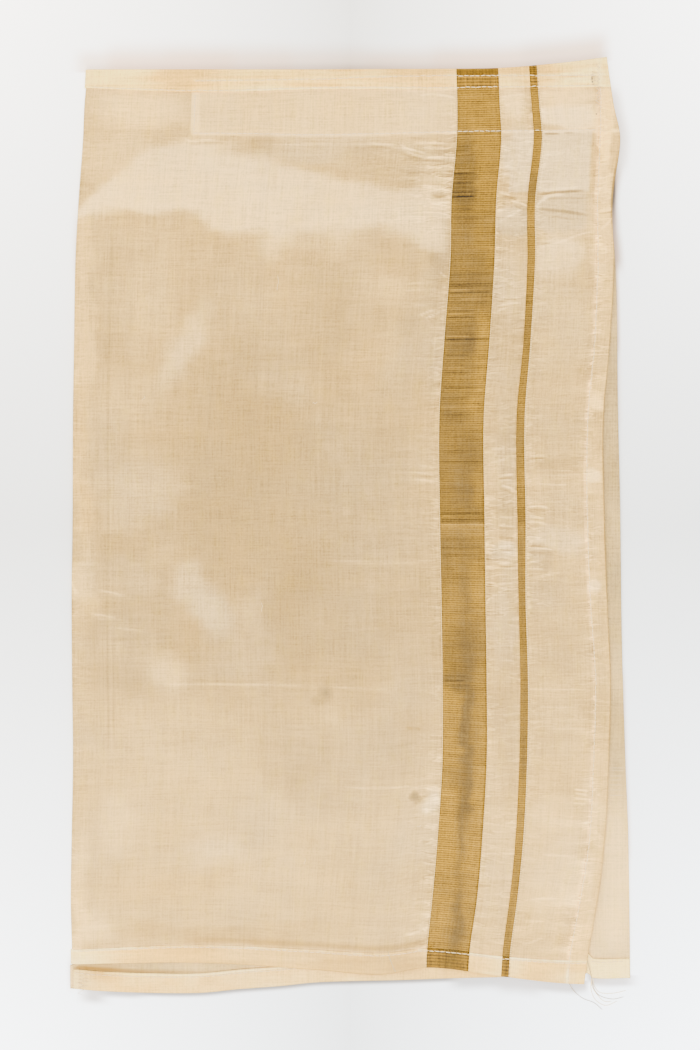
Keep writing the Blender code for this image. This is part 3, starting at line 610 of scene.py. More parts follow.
def patchy(seed, pitch_x, pitch_y, x, y):
    """Uneven soft patches from -1 to 1."""
    knots = np.random.default_rng(seed).uniform(-1, 1, (PATCH_KNOTS, PATCH_KNOTS))
    column, row = x / pitch_x + PATCH_KNOTS // 2, y / pitch_y + PATCH_KNOTS // 2
    left = np.floor(column).astype(int) % (PATCH_KNOTS - 1)
    low = np.floor(row).astype(int) % (PATCH_KNOTS - 1)
    part_x, part_y = eased(column - np.floor(column)), eased(row - np.floor(row))
    lower = knots[left, low] * (1 - part_x) + knots[left + 1, low] * part_x
    upper = knots[left, low + 1] * (1 - part_x) + knots[left + 1, low + 1] * part_x
    return lower * (1 - part_y) + upper * part_y


# ---------------------------------------------------------------- form of the leaf

def leaf_place(warp, weft):
    """Plan positions where warp and weft lines cross."""
    x, y = np.zeros_like(warp), np.zeros_like(warp)
    for _ in range(4):
        y = numbered_line(WEFT_LINES, weft, x)
        x = numbered_line(WARP_LINES, np.maximum(warp, FOLD), y)
    return x, y


def raised_patch(warp, weft, sides, ends):
    """1 over a piece that lies under the leaf, falling to 0 past its edges."""
    left_step, left, right, right_step = sides
    top_step, top, foot, foot_step = ends
    return (soft_step(left_step, left, warp) * (1 - soft_step(right, right_step, warp))
            * soft_step(top_step, top, weft) * (1 - soft_step(foot, foot_step, weft)))


def turned(x, y, centre_x, centre_y, turn):
    """Distances from a centre along and across a direction turned by some degrees."""
    turn = math.radians(turn)
    along = (x - centre_x) * math.cos(turn) + (y - centre_y) * math.sin(turn)
    across = (y - centre_y) * math.cos(turn) - (x - centre_x) * math.sin(turn)
    return along, across


def mounds(rows, x, y):
    """Sum of soft mounds, each turned about its own centre."""
    total = np.zeros_like(x)
    for centre_x, centre_y, half_width, half_length, turn, height in rows:
        along, across = turned(x, y, centre_x, centre_y, turn)
        total += height * hump(along, half_width) * hump(across, half_length)
    return total


PATCH_EDGE = 0.78       # how much of a patch's size its softest edge takes up


def painted(rows, x, y):
    """Tone and warmth where soft-edged patches lie over each other, the first one lowest."""
    tone, warmth = np.zeros_like(x), np.zeros_like(x)
    for centre_x, centre_y, half_width, half_length, turn, softness, level, warm in rows:
        along, across = turned(x, y, centre_x, centre_y, turn)
        reach = np.hypot(along / half_width, across / half_length)
        edge = softness * PATCH_EDGE
        cover = 1 - soft_step(1 - edge, 1 + edge, reach)
        tone += (level - tone) * cover
        warmth += (warm - warmth) * cover
    return tone, warmth


def leaf_lift(warp, weft, x, y):
    """How far the leaf stands off the layers under it."""
    crease_y = numbered_line(WEFT_LINES, np.full_like(x, CREASE), x)
    strip = raised_patch(warp, weft, (STRIP_LEFT - STRIP_FALL, STRIP_LEFT, SIDE_STITCH, SIDE_EDGE),
                         (WAIST_EDGE, STRIP_TOP, STRIP_FOOT, BELOW_STRIP))
    label = raised_patch(warp, weft, (LABEL_LEFT_STEP, LABEL_LEFT, LABEL_RIGHT, SIDE_STITCH),
                         (WAIST_STITCH, STRIP_FOOT, LABEL_FOOT, LABEL_FOOT_STEP))
    return (mounds(LIFT_ROWS, x, y) + CREASE_HEIGHT * hump(y - crease_y, CREASE_HALF_WIDTH)
            + (WALL + SEAM_GAP) * np.maximum(strip, label))


def crinkled(x, y):
    """How much the cloth is drawn into fine crosswise wrinkles beside the bands and seams."""
    total = np.zeros_like(x)
    for line, side, from_y, to_y, amount, reach in CRINKLE_ROWS:
        edge = warp_line(line, y)
        away = (x - edge) * side
        zone = stretch(from_y, to_y, 6, 10, y)
        uneven = 0.9 + 0.35 * patchy(40 + line, 60.0, 16.0, x, y)
        total += amount * zone * uneven * np.exp(-np.maximum(away, 0) / reach) * (away >= -0.6)
    return np.clip(total, 0, 1.6)


def puckers(x, y):
    """Short uneven crosswise ridges beside the bands and the side stitching."""
    total = np.zeros_like(x)
    for number, (line, side, from_y, to_y, height, reach, pitch) in enumerate(PUCKER_ROWS):
        edge = warp_line(line, y)
        away = (x - edge) * side
        slant = 0.05 * ripple(number, 60.0, y)
        along = y + slant * away
        waves = ripple(100 + number, pitch, along)
        ridges = 1.7 * np.maximum(waves, 0) ** 2 - 0.6 * np.maximum(-waves, 0)
        reaches = reach * (0.55 + 0.45 * ripple(200 + number, pitch * 1.6, along))
        zone = stretch(from_y, to_y, 3, 8, y)
        inside = np.exp(-np.maximum(away, 0) / np.maximum(reaches, 0.5)) * (away >= -0.5)
        total += height * ridges * zone * inside
    return total


def fold_marks(x, y):
    """The single creases, each fading at both ends."""
    total = np.zeros_like(x)
    for x0, y0, x1, y1, bow, half_width, height in FOLD_MARK_ROWS:
        length = math.hypot(x1 - x0, y1 - y0)
        along = ((x - x0) * (x1 - x0) + (y - y0) * (y1 - y0)) / length
        across = ((y - y0) * (x1 - x0) - (x - x0) * (y1 - y0)) / length
        part = np.clip(along / length, 0, 1)
        ends = soft_step(0, 0.22, part) * (1 - soft_step(0.7, 1.0, part))
        total += height * ends * hump(across - bow * 4 * part * (1 - part), half_width * 0.8)
    return total


def stitch_dimples(warp, x, y):
    """The cloth is drawn in a little along each line of stitching."""
    side = x - warp_line(SIDE_STITCH, y)
    total = hump(side, 1.1) * (0.8 + 0.2 * ripple(7, 1.6, y))
    for line, left in ((WAIST_STITCH, FOLD), (STRIP_FOOT, STRIP_LEFT), (FOOT_STITCH, FOLD)):
        away = y - weft_line(line, x)
        pulled = hump(away, 1.1) * (0.8 + 0.2 * ripple(8 + line, 1.6, x))
        total = np.maximum(total, pulled * (warp >= left))
    return -0.22 * total


def fine_relief(warp, x, y):
    """Everything finer than the mounds, in millimetres, the same for all the pieces."""
    crossing = 0.05 * patchy(3, 14.0, 3.0, x, y) + 0.10 * patchy(4, 22.0, 18.0, x, y)
    creases = 0.8 * puckers(x, y) + 1.3 * fold_marks(x, y)
    return creases + stitch_dimples(warp, x, y) + crossing


def leaf_surface(warp, weft, rise=0.0):
    """Points of the leaf's outer face, moved out by rise. Warp below 0 is round the fold."""
    x, y = leaf_place(warp, weft)
    flat = np.maximum(warp, FOLD)
    height = LEAF_TOP + leaf_lift(flat, weft, x, y)
    settle = soft_step(0, FOLD_BLEND, flat)
    fine = fine_relief(flat, x, y) * settle
    radius = height / 2
    turn = np.maximum(-warp, 0) * FOLD_TURN
    reach = radius + rise
    round_x = x + radius - reach * np.sin(turn)
    round_z = radius + reach * np.cos(turn)
    open_x = x + radius * np.maximum(0, 1 - flat / FOLD_BLEND)
    around = warp < FOLD
    return (np.where(around, round_x, open_x), y,
            np.where(around, round_z, height + rise + fine))


# ---------------------------------------------------------------- making meshes

def stations(*spans):
    """Stations through (start, count) spans, the last one being (end,)."""
    result = []
    for (start, count), following in zip(spans[:-1], spans[1:]):
        result += list(np.linspace(start, following[0], count, endpoint=False))
    return np.array(result + [spans[-1][0]], float)


def grid_faces(across, down):
    """Corner numbers of a grid's faces, seen from above with row 0 at the top."""
    corner = np.arange((down - 1) * across).reshape(down - 1, across)[:, :-1].ravel()
    return np.stack([corner, corner + across, corner + across + 1, corner + 1], axis=1)


def mesh_object(name, points, faces, material, values=None):
    """A smooth mesh from points in millimetres, with named values kept on its points."""
    data = bpy.data.meshes.new(name)
    faces = faces.tolist() if isinstance(faces, np.ndarray) else faces
    data.from_pydata((np.asarray(points) * MM).tolist(), [], faces)
    for key, numbers in (values or {}).items():
        layer = data.attributes.new(key, "FLOAT", "POINT")
        layer.data.foreach_set("value", np.asarray(numbers, np.float32))
    data.shade_smooth()
    data.materials.append(material)
    piece = bpy.data.objects.new(name, data)
    bpy.context.scene.collection.objects.link(piece)
    return piece


# ---------------------------------------------------------------- tones and thread places

LEFT_WIDTH = 222.0      # cloth between the left fold and the wide band, along the weft
SIDE_BAND_GAP = 20.0    # cloth between the two bands
# Distances along the threads at the numbered lines, where warp and weft numbers become lengths
ACROSS_AT_LINE = (0.0, LEFT_WIDTH, 247.5, 268.0, 272.7, 315.0, 326.0)
DOWN_AT_LINE = (0.0, 7.0, 12.5, 38.0, 41.0, 272.0, 531.0, 539.0)


def across_mm(warp):
    """Distance across the cloth, counted along the weft from the left fold."""
    past_fold = np.minimum(warp, 0) * 6.0
    return np.interp(warp, range(len(ACROSS_AT_LINE)), ACROSS_AT_LINE) + past_fold


def down_mm(weft):
    """Distance down the cloth, counted along the warp from the waist edge."""
    return np.interp(weft, range(len(DOWN_AT_LINE)), DOWN_AT_LINE)


# Columns: line, from_warp, offset, half_width, paleness
SEAM_ROWS = (
    (STRIP_TOP, STRIP_LEFT, 0.5, 0.8, 0.7),
    (WAIST_STITCH, FOLD, 0.5, 0.8, 0.7),
    (STRIP_FOOT, STRIP_LEFT, -0.5, 0.9, 1.1),
    (FOOT_STITCH, FOLD, -0.5, 0.9, 1.2),
)


def seam_lines(warp, weft, x, y):
    """1 along the lines of stitching, where the cloth is drawn up into a fine ridge that the tone
    paints as a pale line, a painted highlight.
    """
    side = x - warp_line(SIDE_STITCH, y)
    total = hump(side, 0.9) * (0.75 + 0.35 * ripple(71, 2.2, y))
    for line, left, offset, half_width, paleness in SEAM_ROWS:
        away = y - weft_line(line, x) - offset
        drawn = hump(away, half_width) * (0.8 + 0.3 * ripple(72 + line, 2.2, x))
        total = np.maximum(total, paleness * drawn * (warp >= left))
    beside = hump((warp - STRIP_LEFT) * LEFT_WIDTH, 0.9) * soft_step(WAIST_STITCH, 2.05, weft)
    return np.maximum(total, beside * (weft < STRIP_FOOT))


# How the strip and the label show through the leaf: sides and ends, tone and warmth
STRIP_SHOWN = ((STRIP_LEFT - 0.01, STRIP_LEFT, 0.999, 1.001),
               (WAIST_EDGE, STRIP_TOP, STRIP_FOOT - 0.05, STRIP_FOOT + 0.1), 0.75, -0.2)
LABEL_SHOWN = ((2.37, 2.41, 4.86, 4.885), (2.99, 3.05, 4.14, 4.15), 0.7, -2.0)
# The pale field has its tone at FIELD_MIDDLE and gets darker to the right, by FIELD_SLOPE for
# each millimetre
FIELD_MIDDLE, FIELD_SLOPE = -60, 0.0013


def pale_field(wander_x, wander_y, x):
    """1 over the pale field below the strip."""
    top = follow(PALE_FIELD["x"], PALE_FIELD["top"], wander_x)
    foot = follow(PALE_FIELD["x"], PALE_FIELD["foot"], wander_x)
    field = soft_step(top + 3, top - 4, wander_y) * soft_step(foot - 5, foot + 4, wander_y)
    return field * soft_step(66, 52, x)


def ground_tone(warp, weft, x, y):
    """Tone and warmth of the cloth at its points: paler where it stands off what is under it."""
    wander_x = x + 4 * patchy(31, 20, 16, x, y) + 1.5 * patchy(35, 6, 5, x, y)
    wander_y = y + 4 * patchy(32, 24, 14, x, y) + 1.5 * patchy(36, 7, 4, x, y)
    tone, warmth = painted(TONE_ROWS, wander_x, wander_y)
    covers = [(pale_field(wander_x, wander_y, x),
               PALE_FIELD_TONE - FIELD_SLOPE * (x - FIELD_MIDDLE), PALE_FIELD_WARMTH)]
    covers += [(raised_patch(warp, weft, sides, ends), level, warm)
               for sides, ends, level, warm in (STRIP_SHOWN, LABEL_SHOWN)]
    for cover, level, warm in covers:
        tone += (level - tone) * cover
        warmth += (warm - warmth) * cover
    clouds = 0.06 * patchy(33, 30, 26, x, y) + 0.04 * patchy(34, 12, 9, x, y)
    seams = seam_lines(warp, weft, x, y)
    # Puckers, single creases and seam lines, also in the form, are painted into the tone: painted
    # highlights on their ridges and painted shade in their troughs
    ridges = 1.2 * puckers(x, y) + 2.6 * fold_marks(x, y) + 0.6 * seams
    # A painted shadow band on the leaf just above the foot hem, darker and warmer
    above_foot = y - weft_line(FOOT_STITCH, x)
    painted_hem_shadow = hump(above_foot - 2.8, 1.8) * soft_step(-108, -80, x) * soft_step(60, 44, x)
    warmth = warmth - 0.6 * seams + 0.5 * painted_hem_shadow
    return tone + clouds + ridges - 0.08 - 0.32 * painted_hem_shadow, warmth


# ---------------------------------------------------------------- shader building

class Signal:
    """A shader socket that takes part in Python expressions."""

    def __init__(self, finish, socket):
        self.finish = finish
        self.socket = socket

    def math(self, operation, first, second=None):
        values = {0: first} if second is None else {0: first, 1: second}
        node = self.finish.add("ShaderNodeMath", {"operation": operation}, values)
        return Signal(self.finish, node.outputs[0])

    def __add__(self, other):
        return self.math("ADD", self, other)

    def __radd__(self, other):
        return self.math("ADD", other, self)

    def __sub__(self, other):
        return self.math("SUBTRACT", self, other)

    def __rsub__(self, other):
        return self.math("SUBTRACT", other, self)

    def __mul__(self, other):
        return self.math("MULTIPLY", self, other)

    def __rmul__(self, other):
        return self.math("MULTIPLY", other, self)

    def size(self):
        return self.math("ABSOLUTE", self)

    def sine(self):
        return self.math("SINE", self)

    def power(self, exponent):
        return self.math("POWER", self, exponent)

    def clipped(self):
        return self.math("MINIMUM", self.math("MAXIMUM", self, 0.0), 1.0)


class Finish:
    """A material, with one method that adds any node to it."""

    def __init__(self, name):
        self.material = bpy.data.materials.new(name)
        self.material.use_nodes = True
        self.tree = self.material.node_tree
        self.shader = self.tree.nodes["Principled BSDF"]

    def add(self, kind, settings=None, sockets=None):
        node = self.tree.nodes.new(kind)
        for key, value in (settings or {}).items():
            setattr(node, key, value)
        for key, value in (sockets or {}).items():
            self.join(value, node.inputs[key])
        return node

    def join(self, value, socket):
        if isinstance(value, Signal):
            self.tree.links.new(value.socket, socket)
        else:
            socket.default_value = value

    def signal(self, node, output=0):
        return Signal(self, node.outputs[output])

    def kept(self, name):
        """A value kept on the mesh's points."""
        return self.signal(self.add("ShaderNodeAttribute", {"attribute_name": name}), "Fac")

    def grain(self, across, down, across_size, down_size, detail=2.0, seed=0.0):
        """Uneven streaks from about -0.5 to 0.5, of a size across and down the cloth."""
        place = self.add("ShaderNodeCombineXYZ", {}, {
            0: across * (1 / across_size) + seed, 1: down * (1 / down_size) + seed})
        noise = self.add("ShaderNodeTexNoise", {"noise_dimensions": "2D"}, {
            "Vector": self.signal(place), "Scale": 1.0, "Detail": detail, "Roughness": 0.55})
        return self.signal(noise) - 0.5

    def blend(self, factor, first, second):
        """A colour between two colours or colour signals."""
        node = self.add("ShaderNodeMix", {"data_type": "RGBA"}, {"Factor": factor})
        self.join(first, node.inputs[6])
        self.join(second, node.inputs[7])
        return self.signal(node, 2)

    def scaled(self, colour, amount):
        """A colour made brighter or darker by a number signal."""
        start = colour if isinstance(colour, Signal) else colour[:3]
        node = self.add("ShaderNodeVectorMath", {"operation": "SCALE"}, {
            0: start, "Scale": amount})
        return self.signal(node)

    def tinted(self, colour, tint):
        node = self.add("ShaderNodeVectorMath", {"operation": "MULTIPLY"}, {0: colour, 1: tint})
        return self.signal(node)

    def bumped(self, height, strength, distance):
        node = self.add("ShaderNodeBump", {}, {
            "Height": height, "Strength": strength, "Distance": distance})
        self.join(self.signal(node), self.shader.inputs["Normal"])

    def set(self, **values):
        for key, value in values.items():
            self.join(value, self.shader.inputs[key.replace("_", " ")])


def linear(red, green, blue):
    """An sRGB colour from 0 to 255 as linear light, with alpha."""
    def one(level):
        level /= 255
        return level / 12.92 if level <= 0.04045 else ((level + 0.055) / 1.055) ** 2.4
    return one(red), one(green), one(blue), 1.0


THREAD_PITCH = 0.55
# Single threads of the weave that stand out, in millimetres across and down the cloth
# Columns: along, at, start, end, half_width, amount
THREAD_ROWS = (
    ("down", 21.6, 90, 415, 0.9, -0.16),
    ("down", 23.3, 250, 415, 0.8, 0.10),
    ("down", 25.1, 210, 415, 0.8, -0.12),
    ("down", 27.5, 270, 390, 0.8, 0.09),
    ("down", 17.4, 80, 150, 0.8, -0.08),
    ("down", 148.8, 150, 480, 0.7, 0.12),
    ("down", 188.0, 120, 200, 0.7, 0.10),
    ("across", 371.8, 50, 175, 0.8, 0.12),
    ("across", 368.6, 50, 170, 0.8, -0.09),
    ("across", 140.8, 158, 222, 0.7, 0.10),
    ("across", 174.0, 160, 222, 0.7, 0.11),
    ("across", 201.0, 165, 222, 0.7, 0.10),
    ("across", 242.5, 160, 222, 0.7, 0.10),
    ("across", 274.6, 165, 222, 0.8, 0.13),
    ("across", 297.0, 165, 222, 0.9, 0.24),
    ("across", 329.5, 165, 222, 0.7, 0.11),
    ("across", 432.0, 160, 222, 0.8, 0.10),
)
YELLOW_TINT = (0.985, 1.0, 0.74)
PEACH_TINT = (1.05, 0.99, 0.74)
GREY_TINT = (0.955, 1.03, 1.42)
AMBER = linear(140, 104, 32)        # painted amber light and shade at folds, rims and the gaps between layers
GOLD_EDGE = linear(240, 206, 136)   # the ground's pale thread that loops round a band's edge


def woven_finish(name, deep, ground, pale):
    """Thin plain weave with uneven threads both ways. Tone -1 is deep, 0 ground and 1 pale."""
    finish = Finish(name)
    across, down, tone = finish.kept("across"), finish.kept("down"), finish.kept("tone")
    weft_fine = finish.grain(across, down, 16.0, 0.8)
    weft_mid = finish.grain(across, down, 60.0, 2.0, seed=17.3)
    weft_broad = finish.grain(across, down, 120.0, 7.0, seed=7.3)
    warp_fine = finish.grain(across, down, 0.85, 20.0, seed=3.1)
    warp_mid = finish.grain(across, down, 2.2, 70.0, seed=13.7)
    warp_broad = finish.grain(across, down, 7.0, 200.0, seed=11.9)
    clouds = finish.grain(across, down, 26.0, 22.0, detail=4.0, seed=5.5)
    nubs = finish.grain(across, down, 1.5, 1.3, detail=1.0, seed=27.1)
    wander = finish.grain(across, down, 16.0, 11.0, seed=31.5) * 2.6
    wrinkle = finish.grain(across, down + wander, 28.0, 3.0, seed=41.2)
    crinkle = finish.kept("crinkle")
    # Fine wrinkles: painted highlight on their crests and painted shade in the hollows beside them,
    # on top of their bump
    crests = (1.0 - wrinkle.size() * 18.0).clipped()
    hollow_shade = (1.0 - (wrinkle + 0.06).size() * 18.0).clipped()
    turns = 2 * math.pi / THREAD_PITCH
    weave = (across * turns).sine() * (down * turns).sine()
    shade = tone + clouds * 0.2 + weft_broad * 0.14 + warp_broad * 0.15 + weft_mid * 0.12
    shade = shade + warp_mid * 0.1 + crinkle * (crests * 0.3 - hollow_shade * 0.2)
    colour = finish.blend(shade.clipped(), ground, pale)
    colour = finish.blend((shade * -1.0).clipped(), colour, deep)
    patches = finish.grain(across, down, 46.0, 38.0, detail=3.0, seed=21.0)
    warmth = finish.kept("warmth") + patches * 1.6 + weft_broad * 0.5 + warp_broad * 0.7
    colour = finish.blend((warmth * 0.8).clipped(), colour, finish.tinted(colour, PEACH_TINT))
    colour = finish.blend((warmth * -0.65).clipped(), colour, finish.tinted(colour, GREY_TINT))
    calm = (1.0 - tone.clipped() * 0.5) * (1.0 - (down * 0.007 - 2.1).clipped() * 0.3)
    weft_long = finish.grain(across, down, 170.0, 1.0, seed=53.2)
    warp_long = finish.grain(across, down, 1.1, 260.0, seed=57.9)
    yellow = finish.grain(across, down, 6.0, 13.0, detail=3.0, seed=47.7)
    golden = weft_fine * 1.1 + warp_fine * 1.1 + weft_mid * 0.3 + warp_mid * 0.3 + nubs * 0.5
    colour = finish.blend((golden * -1.6).clipped() * calm * 0.5, colour, deep)
    colour = finish.blend((yellow * 2.6).clipped() * 0.8, colour,
                          finish.tinted(colour, YELLOW_TINT))
    streaks = (weft_fine * 0.44 + warp_fine * 0.42 + nubs * 0.34) * calm
    streaks = streaks + weft_long * 0.1 + warp_long * 0.14
    for along, at, start, end, half_width, amount in THREAD_ROWS:
        place, length = (across, down) if along == "down" else (down, across)
        line = (1.0 - (place - at).size() * (1 / half_width)).clipped()
        part = ((length - start) * 0.06).clipped() * ((end - length) * 0.06).clipped()
        streaks = streaks + line * part * amount
    # Painted highlight and shade of the fine wrinkles, on the colour's brightness
    drawn = crinkle * (crests * 0.75 - hollow_shade * 0.4)
    colour = finish.scaled(colour, streaks + drawn + weave * 0.04 + 1.0)
    # Painted amber light and shade at folds, rims and the gaps between layers
    colour = finish.blend(finish.kept("painted_light_and_shade"), colour, AMBER)
    finish.set(Base_Color=colour, Roughness=(weft_fine * 0.3 + 0.6).clipped(),
               Sheen_Weight=0.12, Sheen_Roughness=0.4, Sheen_Tint=linear(255, 226, 176),
               Specular_IOR_Level=0.25)
    relief = weft_fine + warp_fine + weave * 0.2 + crinkle * crests * 0.8
    finish.bumped(relief, 0.6, 0.0003)
    return finish.material


def zari_finish(name, ridge, groove, dull, contrast, ribbing):
    """Metal-thread ribs: bright on the ridges and brown between them, partly the metal thread's own
    colour and partly painted highlight and shade; greyer with wear and with a painted sheen.
    """
    finish = Finish(name)
    across, down, tone = finish.kept("across"), finish.kept("down"), finish.kept("tone")
    rib, edge, wear_and_sheen = finish.kept("rib"), finish.kept("edge"), finish.kept("wear_and_sheen")
    glints = finish.grain(across, down, 1.2, 0.9, detail=1.0, seed=2.2)
    runs = finish.grain(across, down, 15.0, 1.4, seed=9.1)
    bands = finish.grain(across, down, 40.0, 5.0, seed=19.4)
    drift = finish.grain(across, down, 14.0, 30.0, detail=3.0, seed=4.4)
    warp_threads = finish.grain(across, down, 1.1, 22.0, seed=6.2)
    # Dullness: wear and a painted sheen, with the threads' own unevenness
    dullness = (wear_and_sheen + drift * 0.8 + runs * 0.6 + bands * 0.5 + warp_threads * 0.6).clipped()
    top = finish.blend(dullness, ridge, dull)
    # The rib's phase paints its ridges bright and its grooves dark: painted highlight and shade
    depth = ((rib - 0.5) * (1.5 - dullness * 1.25) * ribbing + 0.58 + glints * 0.6 + runs * 0.5
             + warp_threads * 0.3).clipped()
    colour = finish.blend(depth, groove, top)
    # Brightness from painted glints and from the threads' own uneven runs
    light = glints * 0.45 + warp_threads * contrast + runs * 0.45 + bands * 0.3
    colour = finish.scaled(colour, light + tone * 0.45 + 1.0)
    colour = finish.blend(edge, colour, GOLD_EDGE)
    finish.set(Base_Color=colour, Metallic=(1.0 - edge) * 0.55,
               Roughness=(glints * 0.3 + dullness * 0.15 + 0.42).clipped(),
               Specular_IOR_Level=0.25)
    finish.bumped(glints * 0.6 + warp_threads * 0.4, 0.4, 0.0002)
    return finish.material


def thread_finish(name, colour):
    """Sewing thread, a little uneven along its length."""
    finish = Finish(name)
    place = finish.add("ShaderNodeTexCoord")
    noise = finish.add("ShaderNodeTexNoise", {}, {
        "Vector": finish.signal(place, "Object"), "Scale": 900.0, "Detail": 2.0})
    shade = finish.signal(noise) * 0.3 + 0.85
    finish.set(Base_Color=finish.scaled(colour, shade), Roughness=0.5, Sheen_Weight=0.3)
    return finish.material


def tape_finish(name, colour):
    """Satin tape or strip under the leaf: fine close ribs one way."""
    finish = Finish(name)
    place = finish.add("ShaderNodeTexCoord")
    parts = finish.add("ShaderNodeSeparateXYZ", {}, {0: finish.signal(place, "Object")})
    ribs = (finish.signal(parts, 1) * 9000.0).sine()
    finish.set(Base_Color=finish.scaled(colour, ribs * 0.04 + 1.0), Roughness=0.5)
    return finish.material


def table_finish():
    """Pale matt table top that emits painted light, brighter towards its corners, with painted
    shade close beside the cloth.
    """
    finish = Finish("pale_table")
    place = finish.add("ShaderNodeTexCoord")
    noise = finish.add("ShaderNodeTexNoise", {}, {
        "Vector": finish.signal(place, "Object"), "Scale": 5.0, "Detail": 3.0})
    parts = finish.add("ShaderNodeSeparateXYZ", {}, {0: finish.signal(place, "Object")})
    across = (finish.signal(parts, 0) * (1 / 0.21)).size().clipped().power(0.8)
    along = (finish.signal(parts, 1) * (1 / 0.315)).size().clipped().power(1.2)
    shade = finish.signal(noise) * 0.03 + 0.985 - finish.kept("shade")
    cool = (finish.signal(parts, 0) * 0.6 - finish.signal(parts, 1) * 1.1 + 0.5).clipped()
    daylight = finish.blend(cool, WARM_SIDE, COOL_SIDE)
    tint = finish.blend(finish.kept("warm"), daylight, WARM_SHADE)
    colour = finish.scaled(linear(*TABLE_COLOUR), shade)
    finish.set(Base_Color=finish.tinted(colour, tint), Roughness=0.8)
    # The table's emission is painted light, brighter towards the corners and dimmed where the
    # painted shade lies
    painted_light_and_shade = finish.scaled(linear(250, 251, 255), across * along * shade)
    finish.set(Emission_Color=finish.tinted(painted_light_and_shade, tint), Emission_Strength=3.3)
    return finish.material


# ---------------------------------------------------------------- colours

TABLE_COLOUR = (232, 238, 246)
WARM_SHADE = (0.72, 0.48, 0.32, 1.0)   # what is left of the light close beside the cloth
WARM_SIDE, COOL_SIDE = (1.04, 1.0, 0.93, 1.0), (0.92, 0.99, 1.07, 1.0)

silk = woven_finish("sheer_silk", linear(137, 110, 54), linear(166, 134, 70),
                    linear(247, 204, 119))
hem_silk = woven_finish("doubled_silk", linear(188, 148, 70), linear(234, 187, 90),
                        linear(255, 226, 138))
under_silk = woven_finish("lower_silk", linear(146, 122, 76), linear(178, 151, 94),
                          linear(236, 200, 128))
zari = zari_finish("gold_zari", linear(136, 103, 8), linear(55, 36, 4),
                   linear(101, 82, 41), contrast=0.4, ribbing=0.5)
zari_reverse = zari_finish("gold_zari_reverse", linear(126, 92, 1), linear(34, 24, 2),
                           linear(84, 66, 22), contrast=1.4, ribbing=0.55)
stitch_thread = thread_finish("white_thread", linear(236, 212, 160))
tack_thread = thread_finish("cream_tack_thread", linear(214, 190, 146))
grey_thread = thread_finish("grey_thread", linear(150, 148, 128))
tan_thread = thread_finish("tan_thread", linear(150, 128, 88))
dark_thread = thread_finish("dark_thread_ends", linear(66, 58, 62))
tape = tape_finish("label_tape", linear(178, 159, 117))


# ---------------------------------------------------------------- the leaf and its bands

# The last value is the painted amber light and shade at folds, rims and gaps
def thread_values(warp, weft, tone, warmth=0.0, painted_light_and_shade=0.0):
    return {"tone": tone, "warmth": warmth + 0 * warp, "painted_light_and_shade": painted_light_and_shade + 0 * warp,
            "across": across_mm(warp), "down": down_mm(weft)}


def cloth_sheet(name, columns, rows, rise, thickness, material, tone=ground_tone):
    """A stretch of the leaf as a thin sheet, with its thread places kept on its points."""
    warp, weft = (grid.ravel() for grid in np.meshgrid(columns, rows))
    x, y, z = leaf_surface(warp, weft, rise)
    values = thread_values(warp, weft, *tone(np.maximum(warp, FOLD), weft, x, y))
    values["crinkle"] = crinkled(x, y)
    piece = mesh_object(name, np.stack([x, y, z], axis=1), grid_faces(len(columns), len(rows)),
                        material, values)
    add_wall(piece, thickness)
    return piece


def add_wall(piece, thickness):
    """Gives a sheet its thickness, inwards from its face."""
    wall = piece.modifiers.new("wall", "SOLIDIFY")
    wall.thickness = thickness * MM
    wall.offset = -1.0


COARSE_ROWS = stations((WAIST_EDGE, 5), (STRIP_TOP, 5), (WAIST_STITCH, 30), (STRIP_FOOT, 6),
                       (BELOW_STRIP, 275), (CREASE, 275), (FOOT_STITCH, 6), (FOOT_EDGE,))
FINE_ROWS = stations((WAIST_EDGE, 8), (STRIP_TOP, 8), (WAIST_STITCH, 38), (STRIP_FOOT, 6),
                     (BELOW_STRIP, 330), (CREASE, 370), (FOOT_STITCH, 12), (FOOT_EDGE,))
LEFT_COLUMNS = stations((-1, 6), (FOLD, 7), (FOLD_BLEND, 11), (STRIP_LEFT_STEP, 3),
                        (STRIP_LEFT, 22), (0.8, 27), (WIDE_LEFT,))
MIDDLE_COLUMNS = stations((WIDE_RIGHT, 10), (LABEL_LEFT_STEP, 4), (LABEL_LEFT, 8),
                          (NARROW_LEFT,))
SIDE_COLUMNS = stations((NARROW_RIGHT, 30), (LABEL_RIGHT, 5), (SIDE_STITCH, 9), (SIDE_EDGE,))


def make_leaf():
    """The ground of the leaf, left of, between and right of its two gold bands."""
    left = cloth_sheet("leaf_cloth_left", LEFT_COLUMNS, COARSE_ROWS, 0.0, SHEET, silk)
    middle = cloth_sheet("leaf_cloth_middle", MIDDLE_COLUMNS, FINE_ROWS, 0.0, SHEET, silk)
    side = cloth_sheet("leaf_cloth_side", SIDE_COLUMNS, FINE_ROWS, 0.0, SHEET, silk)
    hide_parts("front_leaf")
    return left, middle, side
